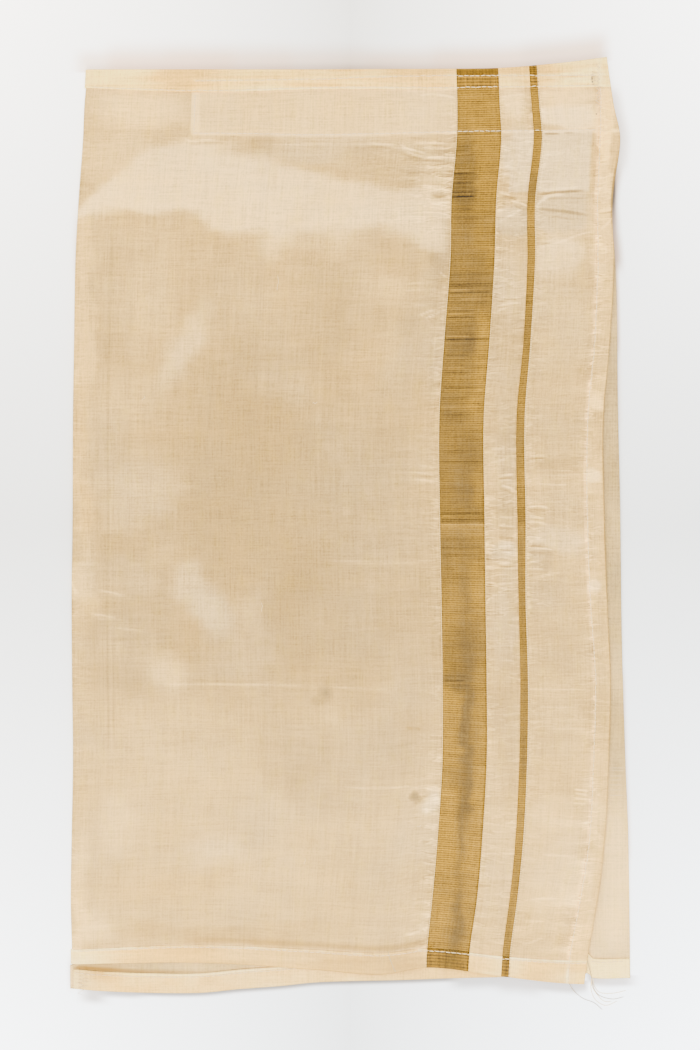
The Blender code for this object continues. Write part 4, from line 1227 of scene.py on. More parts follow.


# Columns: x, y, half_width, half_length, turn, softness, tone, wear_and_sheen (wear, and a painted
# sheen)
GOLD_TONE_ROWS = (
    (69, 15, 36, 420, 0, 0.5, 0, 0.25),
    (77, 258, 16, 27, 0, 0.5, 0.3, 0),
    (85, 243, 5, 26, 0, 0.8, 0.45, 0),
    (68, 219, 8, 18, 0, 0.5, -0.1, 0.5),
    (68, 201, 8, 11, 0, 0.5, -0.35, 0.7),
    (83, 216, 7, 26, 0, 0.6, 0.2, 0),
    (68, 174, 8, 16, 0, 0.5, 0.15, 0.55),
    (81, 176, 7, 18, 0, 0.8, 0.1, 0.1),
    (72, 152, 14, 11, 0, 0.8, -0.1, 0.5),
    (72, 135, 14, 8, 0, 0.8, 0.05, 0.6),
    (68, 110, 11, 16, 0, 0.8, 0, 0.8),
    (81, 105, 5, 20, 0, 0.8, 0.25, 0.1),
    (69, 85, 13, 11, 0, 0.9, -0.15, 0.4),
    (80, 84, 5, 16, 0, 0.9, 0.3, 0),
    (62, 69, 10, 13, 0, 0.9, -0.2, 0.45),
    (77, 68, 6, 16, 0, 0.9, 0.2, 0.1),
    (67, 45, 13, 15, 0, 0.9, -0.15, 0.5),
    (67, 23, 11, 12, 0, 0.8, 0, 0.7),
    (78, 21, 4, 14, 0, 0.8, 0.1, 0.2),
    (56, 15, 4, 14, 0, 0.8, -0.3, 0.3),
    (67, 8, 16, 4, 0, 0.8, -0.2, 0.3),
    (66, -5, 14, 5, 0, 0.9, 0.15, 0.15),
    (65, -13, 13, 8, 0, 0.9, -0.1, 0.5),
    (57, -30, 5, 18, 0, 0.9, -0.2, 0.5),
    (68, -30, 7, 24, 0, 0.9, 0.05, 0.5),
    (78, -45, 5, 26, 0, 0.9, 0.2, 0.1),
    (61, -52, 6, 14, 0, 0.9, 0.2, 0.2),
    (68, -75, 13, 17, 0, 0.9, -0.15, 0.55),
    (63, -92, 10, 6, 0, 0.7, -0.2, 0.7),
    (60, -112, 7, 13, 0, 0.8, 0.3, 0),
    (71, -129, 5, 42, 0, 0.7, 0.1, 0.8),
    (60, -132, 6, 24, 0, 0.9, 0.15, 0.1),
    (78, -132, 5, 36, 0, 0.9, 0.15, 0.1),
    (61, -150, 9, 8, 0, 0.9, -0.1, 0.4),
    (60, -170, 7, 16, 0, 0.8, 0.45, 0),
    (76, -171, 4, 26, 0, 0.8, 0.3, 0),
    (68, -183, 4, 36, 0, 0.8, 0.1, 0.7),
    (58, -202, 6, 24, 0, 0.8, 0.35, 0),
    (72, -202, 5, 24, 0, 0.8, 0.3, 0),
    (64, -237, 5, 18, 0, 0.8, 0, 0.7),
    (55, -228, 5, 22, 0, 0.8, 0.3, 0.05),
    (71, -234, 4, 18, 0, 0.8, 0.25, 0.1),
    # the narrow band
    (111, 255, 6, 30, 0, 0.6, 0.3, 0),
    (112, 225, 5, 18, 0, 0.6, 0.25, 0.1),
    (108, 201, 5, 13, 0, 0.6, 0.05, 0.5),
    (108, 171, 5, 24, 0, 0.6, 0.1, 0.15),
    (106, 123, 5, 30, 0, 0.6, -0.1, 0.3),
    (103, 51, 5, 12, 0, 0.6, 0.15, 0.3),
    (102, 12, 4, 13, 0, 0.6, -0.35, 0.2),
    (102, -6, 4, 6, 0, 0.6, 0.2, 0.2),
    (102, -45, 4, 36, 0, 0.6, -0.05, 0.3),
    (104, -117, 4, 36, 0, 0.6, 0, 0.4),
    (99, -201, 5, 48, 0, 0.6, 0.2, 0.2),
)

# Single crosswise threads of the gold bands that stand out: brighter (+) or darker (-)
# Columns: from_x, to_x, y, amount
GOLD_STREAK_ROWS = (
    (64, 75, 232.2, 0.3),
    (64, 73, 227.1, -0.4),
    (64, 72, 225.3, -0.35),
    (64, 74, 222.9, 0.3),
    (62, 89, 213.9, -0.35),
    (61, 73, 212.5, 0.5),
    (61, 75, 211.1, -0.8),
    (61, 72, 206.5, 0.3),
    (61, 75, 205.4, -0.55),
    (61, 74, 202.5, -0.3),
    (60, 75, 199.7, -0.7),
    (60, 74, 198.4, 0.3),
    (60, 75, 197.0, -0.9),
    (60, 74, 189.6, -0.45),
    (60, 84, 184.7, -0.35),
    (60, 85, 150.3, -0.3),
    (59, 86, 144.6, -0.6),
    (59, 86, 143.1, -0.4),
    (59, 72, 141.0, 0.7),
    (59, 85, 139.5, -0.8),
    (59, 78, 137.7, 0.3),
    (66, 85, 135.6, 0.5),
    (58, 85, 133.5, -0.3),
    (58, 75, 128.4, -0.5),
    (58, 75, 127.1, 0.3),
    (58, 75, 124.7, -0.6),
    (58, 72, 123.3, 0.2),
    (57, 72, 113.3, 0.7),
    (57, 84, 111.6, -0.8),
    (57, 72, 109.5, 0.2),
    (57, 71, 102.0, -0.45),
    (57, 71, 100.5, 0.3),
    (56, 69, 94.5, 0.4),
    (56, 72, 91.5, -0.4),
    (56, 81, 82.5, -0.5),
    (56, 81, 80.9, 0.3),
    (55, 78, 76.5, -0.3),
    (54, 78, 71.1, 0.3),
    (54, 75, 66.3, -0.4),
    (54, 80, 44.7, -0.3),
    (54, 80, 38.1, -0.25),
    (54, 80, 10.8, -0.35),
    (54, 80, 7.2, -0.45),
    (54, 63, 5.5, 0.35),
    (54, 90, 3.3, -0.5),
    (54, 90, 2.0, -0.42),
    (54, 90, 0.4, 0.5),
    (54, 90, -0.8, 0.2),
    (98, 108, 2.4, -0.3),
    (54, 80, -13.5, -0.3),
    (54, 80, -18.3, -0.3),
    (54, 80, -31.5, -0.25),
    (56, 72, -90.3, -0.4),
    (56, 69, -93.1, -0.65),
    (56, 72, -94.5, 0.2),
    (56, 78, -96.1, -0.35),
    (54, 65, -161.7, 0.4),
    (54, 72, -168.3, -0.3),
    (104, 109, 137.7, -0.4),
    (104, 109, 134.1, -0.5),
)


def gold_streaks(x, y):
    """The single crosswise threads that stand out in the gold."""
    total = np.zeros_like(x)
    for from_x, to_x, at_y, amount in GOLD_STREAK_ROWS:
        amount *= 2.4 if amount > 0 else 1.9
        rising = 0.03 * soft_step(0, 200, np.float64(at_y)) * (x - from_x)
        ends = soft_step(from_x - 1, from_x + 1.5, x) * soft_step(to_x + 1, to_x - 2.5, x)
        total += amount * ends * hump(y - at_y - rising, 0.55)
    return total


def band_sheet(name, warp_span, weft_span, count, rise, material, tone_shift=0.0):
    """A stretch of gold band, its ribs raised row by row, with pale loops at its sides."""
    first, last = warp_span
    length = float(down_mm(weft_span[1]) - down_mm(weft_span[0]))
    ribs = max(4, round(length / RIB_PITCH))
    steps = ribs * RIB_ROWS
    down = np.linspace(down_mm(weft_span[0]), down_mm(weft_span[1]), steps + 1)
    rows = np.interp(down, DOWN_AT_LINE, range(len(DOWN_AT_LINE)))
    left_side, right_side = EDGE_THREAD / LEFT_WIDTH, EDGE_THREAD / SIDE_BAND_GAP
    inner = np.linspace(first, last, count + 1)
    columns = np.concatenate([[first - left_side, first - left_side / 4], inner,
                              [last + right_side / 4, last + right_side]])
    warp, weft = (grid.ravel() for grid in np.meshgrid(columns, rows))
    number = np.repeat(np.arange(steps + 1), len(columns))
    phase = 0.5 - 0.5 * np.cos(2 * math.pi * number / RIB_ROWS)
    inside = (warp >= first) & (warp <= last)
    x, y, z = leaf_surface(warp, weft, rise)
    uneven = 0.75 + 0.35 * patchy(51, 6.0, RIB_PITCH, x, y)
    z = z + RIB_HEIGHT * phase * uneven * inside - 0.1 * ~inside
    wander_x, wander_y = x + 2 * patchy(52, 9, 5, x, y), y + 3 * patchy(54, 7, 9, x, y)
    tone, wear_and_sheen = painted(GOLD_TONE_ROWS, wander_x, wander_y)
    threads = np.random.default_rng(53).uniform(-1, 1, ribs + 2)[(number + 2) // RIB_ROWS]
    # Puckers are painted into the gold's tone as highlight and shade
    tone = tone + gold_streaks(x, y) + 0.18 * threads + 0.3 * puckers(x, y) + tone_shift
    values = thread_values(warp, weft, tone)
    values["rib"] = phase
    # A painted sheen along the band's middle, where the ribs look greyer and flatter
    middle = hump((warp - first) / (last - first) - 0.55 + 0.04 * patchy(55, 9, 40, x, y), 0.24)
    values["wear_and_sheen"] = np.clip(wear_and_sheen + 0.22 * middle * soft_step(40, -60, y), 0, 1)
    values["edge"] = ~inside * (0.35 + 0.65 * phase)
    piece = mesh_object(name, np.stack([x, y, z], axis=1),
                        grid_faces(len(columns), len(rows)), material, values)
    add_wall(piece, SHEET)
    return piece


BAND_RISE, HEM_BAND_RISE = 0.12, 0.1    # how far the gold stands above the cloth
BAND_SPANS = {"wide": (WIDE_LEFT, WIDE_RIGHT, 20), "narrow": (NARROW_LEFT, NARROW_RIGHT, 6)}


def make_bands():
    """Each gold band in three stretches: on the leaf, and its reverse on the two hems."""
    pieces = []
    for width, (first, last, count) in BAND_SPANS.items():
        leaf = band_sheet(f"zari_{width}_leaf", (first, last), (WAIST_EDGE, FOOT_EDGE), count,
                          BAND_RISE, zari)
        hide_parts(f"zari_{width}_on_leaf")
        pieces.append(leaf)
        for hem, weft_span, shift in (("waist", (WAIST_EDGE, WAIST_STITCH), 0.0),
                                      ("foot", (FOOT_STITCH, FOOT_EDGE), -0.25)):
            turned = band_sheet(f"zari_{width}_{hem}", (first, last), weft_span, count,
                                HEM_RISE + HEM_BAND_RISE, zari_reverse, shift)
            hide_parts(f"zari_{width}_on_{hem}_hem")
            pieces.append(turned)
    return pieces


# ---------------------------------------------------------------- hems

# Stretches of the side edge and the foot edge where a fine painted amber line of light and shade
# shows
GLOW_SPANS = ((80, -40), (-5, -42), (-66, -132), (-262, -272))
FOOT_RIM, SIDE_RIM = 6.97, 5.94     # weft and warp numbers past which the hems' rims lie

# Tone and warmth of the hems at places along them
HEM_TONES = {
    "waist": ((-144, 0.9, 1.7), (-128, 0.65, 1.5), (-112, -0.05, 0.8), (-96, -0.4, 1.3),
              (-80, 0.2, 1.1), (-64, 0.5, 0.7), (-32, 0.4, 0.5), (0, 0.2, 0.6), (16, 0.4, 0.5),
              (32, 0.2, 0.8), (96, 0.2, 0.4), (112, 0.0, 0.3), (128, 0.7, 0.8),
              (144, 0.7, 0.9)),
    "foot": ((-160, 1.0, -0.2), (-144, 0.2, 0.0), (-128, -0.1, 0.0), (-112, -0.25, 0.3),
             (-96, -0.6, 0.3), (-80, -0.7, -0.2), (-64, -0.45, -0.4), (-32, -0.25, -0.7),
             (-16, -0.6, -0.4), (0, -0.75, -0.3), (16, -0.9, -0.4), (32, -0.8, -0.3),
             (80, 0.2, -0.7), (96, 0.4, -0.7), (112, -0.4, -0.1), (128, 0.1, -1.0),
             (144, 0.0, 0.9)),
    "lower": ((-160, 0.3, -1.0), (-144, 0.2, 0.4), (-128, 0.1, 0.0), (-112, 0.1, -0.5),
              (-80, 0.1, -0.9), (-48, 0.2, -1.2), (-16, 0.2, -1.4), (16, -0.25, -1.5),
              (32, -0.4, -1.1), (48, -0.3, -0.5)),
}


def along_hem(name, x):
    """Tone and warmth along a hem."""
    places, tones, warmths = zip(*HEM_TONES[name])
    return follow(places, tones, x), follow(places, warmths, x)


def hem_tone(warp, weft, x, y):
    """Tone, warmth and painted amber light and shade of the waist hem and the foot hem."""
    seams = seam_lines(warp, weft, x, y)
    # Puckers, single creases and seam lines, also in the form, are painted into the tone: painted
    # highlights on their ridges and painted shade in their troughs
    ridges = 2.2 * puckers(x, y) + 2.8 * fold_marks(x, y) + 0.8 * seams
    tone = 0.3 * patchy(61, 16, 8, x, y) + 0.25 * patchy(62, 24, 2.2, x, y) + ridges
    waist, waist_warmth = along_hem("waist", x)
    foot, foot_warmth = along_hem("foot", x)
    upper = weft < CREASE
    # The waist hem gets more painted highlight and shade on its puckers
    tone = tone + upper * (0.3 * patchy(64, 60, 1.3, x, y) + 1.0 * puckers(x, y))
    # A painted amber line of light and shade along the foot hem's rim
    painted_light_and_shade = 0.55 * (weft > FOOT_RIM) * soft_step(-80, -60, x) * soft_step(50, 30, x)
    warmth = 0.6 * patchy(63, 30, 4, x, y) + np.where(upper, waist_warmth, foot_warmth)
    return tone + np.where(upper, waist, foot), warmth - 0.9 * seams, painted_light_and_shade


def side_hem_tone(warp, weft, x, y):
    """Tone, warmth and painted amber light and shade of the side hem, with a painted shadow in the
    gap near its upper end.
    """
    tone, warmth = ground_tone(warp, weft, x, y)
    shown = sum(stretch(top, foot, 6, 6, y) for top, foot in GLOW_SPANS)
    # A painted amber line of light and shade along the side hem's rim
    painted_light_and_shade = 0.7 * np.clip(0.15 + shown, 0, 1) * (warp > SIDE_RIM) * soft_step(190, 150, y)
    # A painted shadow: dark tone in the gap under the lifted side edge
    gap = soft_step(5.86, 5.97, warp) * hump(y - 201, 15)
    return tone + 0.1 - 2.5 * gap, warmth + 0.25, painted_light_and_shade


HEM_COLUMNS = stations((-0.6, 5), (FOLD, 6), (FOLD_BLEND, 40), (STRIP_LEFT, 40), (0.7, 50),
                       (WIDE_LEFT, 12), (WIDE_RIGHT, 16), (NARROW_LEFT, 4), (NARROW_RIGHT, 34),
                       (SIDE_STITCH, 12), (SIDE_EDGE,))


def make_hems():
    """The waist, foot and side hems, turned towards the viewer."""
    waist = cloth_sheet("waist_hem_cloth", HEM_COLUMNS,
                        stations((WAIST_EDGE, 16), (STRIP_TOP, 14), (WAIST_STITCH,)),
                        HEM_RISE, HEM_SHEET, hem_silk, hem_tone)
    foot = cloth_sheet("foot_hem_cloth", HEM_COLUMNS, stations((FOOT_STITCH, 20), (FOOT_EDGE,)),
                       HEM_RISE, HEM_SHEET, hem_silk, hem_tone)
    side_rows = stations((WAIST_STITCH, 38), (STRIP_FOOT, 6), (BELOW_STRIP, 330), (CREASE, 370),
                         (FOOT_STITCH,))
    side = cloth_sheet("side_hem_cloth", stations((SIDE_STITCH, 14), (SIDE_EDGE,)), side_rows,
                       HEM_RISE, HEM_SHEET, silk, side_hem_tone)
    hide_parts("waist_hem")
    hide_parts("foot_hem")
    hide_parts("side_hem")
    return waist, foot, side


# ---------------------------------------------------------------- layers under the leaf

LIP_LEVELS = (1.0, 0.97, 0.92, 0.84, 0.76, 0.71, 0.68, 0.65, 0.59, 0.51, 0.43, 0.37, 0.34, 0.31,
              0.25, 0.17, 0.09, 0.03, 0.0)
LIP_INSETS = (0.9, 0.5, 0.25, 0.15, 0.25, 0.5, 1.3, 0.5, 0.15, 0.0, 0.15, 0.5, 1.3, 0.5,
              0.15, 0.0, 0.1, 0.3, 0.7)
LOWER_HEM_DEPTH = 12.0
SHELF_START, SHELF_RAMP = 0.5, 3.0
WAIST_INSET = 2.0


def thread_places(x, y):
    """Distances across and down the cloth, for layers whose threads lie square."""
    return {"across": x + 170, "down": 282 - y}


def layers_place(across, down):
    """Plan positions of points of the hidden layers: left to right, waist to foot."""
    x, y = np.zeros_like(across), np.zeros_like(across)
    for _ in range(5):
        top = weft_line(WAIST_EDGE, x) - WAIST_INSET
        y = top + (lower_foot_line(x) - top) * down
        leaf_foot = weft_line(FOOT_EDGE, x)
        shown = soft_step(leaf_foot + 0.6, leaf_foot - 1.4, y)
        left = warp_line(FOLD, y) + FOLD_CLEARANCE + (FOLD_SHOWN_INSET - FOLD_CLEARANCE) * shown
        right = right_fold_line(y)
        x = left + (right - left) * across
    return x, y


def layers_height(x, y):
    """Height of the top face, one sheet lower where the lower hems lie on it."""
    from_foot = y - lower_foot_line(x)
    on_shelf = 1 - soft_step(LOWER_HEM_DEPTH + SHELF_START, LOWER_HEM_DEPTH + SHELF_RAMP,
                             from_foot)
    waves = 0.12 * patchy(71, 7.0, 26.0, x, y) + 0.08 * patchy(72, 22.0, 4.0, x, y)
    return LAYERS_HEIGHT - SHELF_DROP * on_shelf + waves - 0.2


def rim_order(across, down):
    """Numbers of a grid's rim points, once round."""
    top = list(range(across))
    right = [row * across + across - 1 for row in range(1, down)]
    foot = [(down - 1) * across + column for column in range(across - 2, -1, -1)]
    left = [row * across for row in range(down - 2, 0, -1)]
    return np.array(top + right + foot + left)


def outward_normals(points):
    """Outward directions, in plan, at the points of a rim that runs clockwise from above."""
    along = np.roll(points, -1, axis=0)[:, :2] - np.roll(points, 1, axis=0)[:, :2]
    along /= np.linalg.norm(along, axis=1, keepdims=True)
    return np.stack([-along[:, 1], along[:, 0]], axis=1)


def make_layers():
    """The folded layers: a fine top face, and a rounded lip round the rim for each layer."""
    columns = stations((0, 60), (0.84, 39), (1,))
    rows = stations((0, 150), (0.94, 33), (1,))
    across, down = (grid.ravel() for grid in np.meshgrid(columns, rows))
    x, y = layers_place(across, down)
    top = np.stack([x, y, layers_height(x, y)], axis=1)
    faces = [grid_faces(len(columns), len(rows))]
    rim = rim_order(len(columns), len(rows))
    outline = top[rim].copy()
    normals = outward_normals(outline)
    top[rim, :2] -= normals * LIP_INSETS[0]
    rings, previous, count = [top], rim, len(rim)
    for level, inset in zip(LIP_LEVELS[1:], LIP_INSETS[1:]):
        uneven = 0.35 * patchy(int(level * 100), 9.0, 9.0, outline[:, 0], outline[:, 1]) * inset
        ring = outline.copy()
        ring[:, :2] -= normals * (inset + uneven)[:, None]
        ring[:, 2] *= level
        start = sum(len(part) for part in rings)
        numbers = np.arange(start, start + count)
        faces.append(np.stack([previous, np.roll(previous, -1), np.roll(numbers, -1), numbers],
                              axis=1))
        rings.append(ring)
        previous = numbers
    under = top * (1, 1, 0)
    under[rim] = rings.pop()
    rings.append(under)
    base = previous[0]
    faces[-1][:, 2:] = rim[faces[-1][:, 2:] - base] + base
    faces.append(faces[0][:, ::-1] + base)
    points = np.concatenate(rings)
    x, y = points[:, 0], points[:, 1]
    tone = 0.4 * patchy(73, 16, 30, x, y) - 0.15 + 0.8 * soft_step(-60, -240, y)
    # Painted shade in the gap under the leaf's foot edge
    tone -= 0.5 * soft_step(-150, -120, x) * soft_step(-50, -80, x) * soft_step(-255, -262, y)
    from_foot = y - lower_foot_line(x)
    # Painted amber shade in the gap under the leaf's foot corner, and a painted shadow line just
    # above the lower hem
    pocket_shadow = 0.6 * soft_step(-128, -146, x) * soft_step(-167, -161, x) * hump(y + 265.2, 3.4)
    fold_shadow_line = 0.65 * hump(from_foot - LOWER_HEM_DEPTH - 1.2, 1.1) * soft_step(-70, -130, x)
    fold_shadow_line = fold_shadow_line * soft_step(-168, -163, x)
    tone = tone - 0.5 * pocket_shadow - 0.7 * fold_shadow_line
    values = {"tone": tone, "painted_light_and_shade": np.clip(pocket_shadow + fold_shadow_line, 0, 1), **thread_places(x, y)}
    piece = mesh_object("folded_layers_cloth", points, np.concatenate(faces), under_silk, values)
    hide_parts("folded_layers")
    return piece


# Columns: name, node, left_x, right_x, count of points, paler
LOWER_HEM_ROWS = (
    ("lower_hem_cloth", "lower_foot_hem", -166.4, 88.0, 200, 0.0),
    ("right_fold_hem_cloth", "right_fold_foot_hem", 141.6, 167.9, 34, 1.4),
)


def make_lower_hem(name, node, left_x, right_x, count, paler):
    """A foot hem of the layers under the leaf, on their low shelf."""
    rows = np.linspace(0, 1, 13)
    across, down = (grid.ravel() for grid in np.meshgrid(np.linspace(left_x, right_x, count), rows))
    y = lower_foot_line(across) + LOWER_HEM_DEPTH * (1 - down) + 0.3 * down
    rounded = np.sqrt(np.clip(1 - np.clip((down - 0.9) / 0.1, 0, 1) ** 2, 0, 1))
    ripples = 0.10 * patchy(81, 4.0, 6.0, across, y) * (1 - down * 0.5)
    pulled = 0.15 * hump(down - 0.1, 0.08)
    z = SHELF_TOP + 0.55 + 0.35 * rounded + ripples - pulled
    level, warmth = along_hem("lower", np.minimum(across, 48))
    # Raised ripples are painted lighter: painted highlight
    tone = 0.3 * patchy(82, 12, 7, across, y) + 0.5 * ripples + level + paler
    tone += 0.8 * hump(down - 0.06, 0.09) * (across > -148)
    # Painted amber shade at the hem's left end, beside the gap under the leaf's foot corner
    golden = hump(across + 150, 11) * hump(down - 0.15, 0.45)
    values = {"tone": tone - 0.5 * golden, "warmth": warmth + 0.5 * paler, "painted_light_and_shade": 0.28 * golden,
              **thread_places(across, y)}
    hem = mesh_object(name, np.stack([across, y, z], axis=1), grid_faces(count, len(rows)),
                      hem_silk, values)
    add_wall(hem, HEM_SHEET)
    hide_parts(node)
    return hem


# ---------------------------------------------------------------- threads and stitches

def thread_mesh(name, lines, radius, material, sides=6):
    """Thin tapered tubes along lines of points in millimetres, as one mesh."""
    points, faces = [], []
    turns = np.arange(sides) * 2 * math.pi / sides
    for line in lines:
        line = np.asarray(line, float)
        along = np.gradient(line, axis=0)
        along /= np.linalg.norm(along, axis=1, keepdims=True)
        sideways = np.cross(along, (0.0, 0.0, 1.0))
        sideways /= np.maximum(np.linalg.norm(sideways, axis=1, keepdims=True), 1e-9)
        upward = np.cross(sideways, along)
        ends = np.minimum(np.arange(len(line)), np.arange(len(line))[::-1])
        sizes = radius * np.where(ends == 0, 0.35, 1.0)
        start = len(points)
        for centre, side, up, size in zip(line, sideways, upward, sizes):
            ring = centre + size * (np.cos(turns)[:, None] * side + np.sin(turns)[:, None] * up)
            points.extend(ring)
        for step in range(len(line) - 1):
            first = start + step * sides
            for k in range(sides):
                after = (k + 1) % sides
                faces.append((first + k, first + after, first + sides + after,
                              first + sides + k))
        faces.append(tuple(start + k for k in reversed(range(sides))))
        last = start + (len(line) - 1) * sides
        faces.append(tuple(last + k for k in range(sides)))
    return mesh_object(name, points, faces, material)


def surface_lines(numbers, rise):
    """Points on the leaf's face at pairs of warp and weft numbers."""
    warp, weft = np.asarray(numbers, float).T
    return np.stack(leaf_surface(warp, weft, rise), axis=1)


STITCH_SINK, STITCH_STAND = -0.12, 0.36     # heights of a stitch's ends and of its middle


def machine_stitches(path, seed, pitch=STITCH_PITCH):
    """Separate stitches along a path of points: each dips into the cloth at both ends."""
    random = np.random.default_rng(seed)
    path = np.asarray(path, float)
    lengths = np.concatenate([[0], np.cumsum(np.linalg.norm(np.diff(path, axis=0), axis=1))])
    stitches, at = [], 0.4
    while at + pitch < lengths[-1]:
        size = pitch * random.uniform(0.92, 1.0)
        part = np.linspace(0, 1, 5)
        places = at + size * part
        line = np.stack([np.interp(places, lengths, path[:, axis]) for axis in range(3)], axis=1)
        lean = random.uniform(-0.28, 0.28, 2)
        line[:, 1 if abs(line[-1, 0] - line[0, 0]) > abs(line[-1, 1] - line[0, 1]) else 0] += (
            lean[0] + (lean[1] - lean[0]) * part)
        line[:, 2] += STITCH_STAND - (STITCH_STAND + STITCH_SINK) * (2 * part - 1) ** 4
        stitches.append(line)
        at += pitch * random.uniform(0.95, 1.05)
    return stitches


def stitch_path(warps, wefts, rise, count):
    """Points on the leaf's face along a line of stitching."""
    steps = np.linspace(0, 1, count)
    warp = np.interp(steps, np.linspace(0, 1, len(warps)), warps)
    weft = np.interp(steps, np.linspace(0, 1, len(wefts)), wefts)
    return surface_lines(np.stack([warp, weft], axis=1), rise)


STITCH_RADIUS = 0.2
# Lines of stitching on the leaf, each from its first warp and weft numbers to its last
# Columns: warps, wefts, rise, pitch, count of points
STITCH_ROWS = (
    ((0.01, SIDE_STITCH), (1.86, 1.86), HEM_RISE, STITCH_PITCH, 400),
    ((STRIP_LEFT, SIDE_STITCH), (STRIP_TOP, STRIP_TOP), HEM_RISE, STITCH_PITCH, 400),
    ((STRIP_LEFT, SIDE_STITCH), (STRIP_FOOT, STRIP_FOOT), 0.0, STITCH_PITCH, 400),
    ((STRIP_LEFT + 0.004, STRIP_LEFT + 0.004), (2.05, STRIP_FOOT), 0.0, 2.8, 400),
    ((0.01, SIDE_EDGE), (6.12, 6.12), HEM_RISE, STITCH_PITCH, 400),
    ((5.07, 5.07), (WAIST_STITCH, FOOT_EDGE), HEM_RISE, 2.6, 900),
)


def make_stitches():
    """Lines of white machine stitching: waist hem, strip, side hem and foot hems."""
    lines = []
    for number, (warps, wefts, rise, pitch, count) in enumerate(STITCH_ROWS):
        lines += machine_stitches(stitch_path(warps, wefts, rise, count), 1 + number, pitch)
    return thread_mesh("white_stitching", lines, STITCH_RADIUS, stitch_thread)


# Columns: left_x, right_x, from_foot
LOWER_STITCH_ROWS = (
    (-166.0, 60.0, 10.0),
    (142.0, 167.0, 10.2),
)


def lower_path(left_x, right_x, from_foot):
    """A line along the foot of the lower layers, on the face of their hem."""
    x = np.linspace(left_x, right_x, 200)
    y = lower_foot_line(x) + from_foot
    return np.stack([x, y, np.full_like(x, SHELF_TOP + 0.9)], axis=1)


def make_lower_stitches():
    """The stitching of the two foot hems under the leaf, in slightly finer thread."""
    lines = []
    for number, row in enumerate(LOWER_STITCH_ROWS):
        lines += machine_stitches(lower_path(*row), 11 + number)
    return thread_mesh("lower_stitching", lines, STITCH_RADIUS * 0.85, stitch_thread)


# Columns: x, y, z, width, length, passes
TACK_ROWS = (
    (145.6, 268.0, 7.1, 2.6, 9.0, 12),
    (148.6, 264.0, 7.0, 2.2, 26.0, 22),
    (-160.2, -273.5, 3.5, 5.4, 7.5, 7),
    (-161.6, -277.6, 3.5, 3.2, 8.5, 6),
)
DARK_END_RADIUS = 0.32
# Columns: x0, y0, x1, y1
DARK_END_ROWS = ((144.6, 269.3, 144.9, 266.8), (144.9, 266.4, 145.2, 265.2),
                 (147.3, 247.0, 147.7, 246.0))


def make_tacks():
    """Close zigzag stitching where the ends of the seams are secured."""
    random = np.random.default_rng(21)
    lines = []
    for x, y, z, width, length, passes in TACK_ROWS:
        steps = np.arange(passes + 1)
        zigzag = np.stack([
            x + width * (0.5 - steps % 2) + random.uniform(-0.5, 0.5, passes + 1),
            y + length * (0.5 - steps / passes) + random.uniform(-0.4, 0.4, passes + 1),
            z + random.uniform(-0.15, 0.12, passes + 1)], axis=1)
        lines.append(zigzag)
    tacks = thread_mesh("bar_tacks", lines, STITCH_RADIUS, tack_thread, 5)
    ends = []
    for x0, y0, x1, y1 in DARK_END_ROWS:
        part = np.linspace(0, 1, 4)
        ends.append(np.stack([x0 + (x1 - x0) * part, y0 + (y1 - y0) * part,
                              np.full(4, 7.3) + 0.15 * np.sin(part * math.pi)], axis=1))
    dark = thread_mesh("dark_thread_ends", ends, DARK_END_RADIUS, dark_thread, 5)
    return tacks, dark


LOOSE_THREADS = (
    ((130.4, -271.0, 5.2), (131.4, -274.6, 3.4), (134.3, -279.6, 0.5), (140.0, -284.4, 0.3),
     (146.6, -287.0, 0.3), (151.6, -291.2, 0.3)),
    ((141.6, -259.0, 5.0), (143.2, -264.5, 4.2), (144.6, -270.0, 3.4), (145.4, -274.0, 1.0),
     (147.0, -279.5, 0.4), (150.5, -283.0, 0.3), (158.0, -284.8, 0.3), (164.6, -283.4, 0.3)),
    ((145.6, -271.4, 3.0), (146.6, -276.4, 0.8), (149.6, -280.6, 0.3), (157.0, -281.4, 0.3),
     (166.0, -279.6, 0.3)),
    ((145.0, -272.0, 2.4), (144.8, -279.0, 0.6), (147.6, -285.4, 0.3), (153.6, -288.6, 0.3),
     (160.6, -286.0, 0.3)),
    ((144.8, -272.2, 2.2), (145.6, -277.4, 0.7), (148.6, -282.2, 0.3), (152.6, -286.0, 0.3),
     (157.0, -286.4, 0.3)),
)


def smooth_line(points, count):
    """A smooth line of evenly spaced points through a few places."""
    points = np.asarray(points, float)
    lengths = np.concatenate([[0], np.cumsum(np.linalg.norm(np.diff(points, axis=0), axis=1))])
    at = np.linspace(0, lengths[-1], count)
    return np.stack([follow(lengths, points[:, axis], at) for axis in range(3)], axis=1)


def make_loose_threads():
    """Two tan threads and three pale ones that trail onto the table at the foot."""
    lines = [smooth_line(points, 28) for points in LOOSE_THREADS]
    first = thread_mesh("loose_thread_tan", lines[:2], STITCH_RADIUS, tan_thread)
    rest = thread_mesh("loose_threads_pale", lines[2:], STITCH_RADIUS, stitch_thread)
    return first, rest


# Columns: x, y, length, turn
SLUB_ROWS = (
    (-43.4, 145.5, 9.6, 88.0),
    (-21.2, 73.5, 3.0, 12.0),
    (-123.8, 76.5, 3.0, 60.0),
    (-53.0, -48.9, 6.0, 92.0),
    (-27.2, -201.3, 4.0, 84.0),
    (41.2, -180.3, 2.6, 20.0),
)
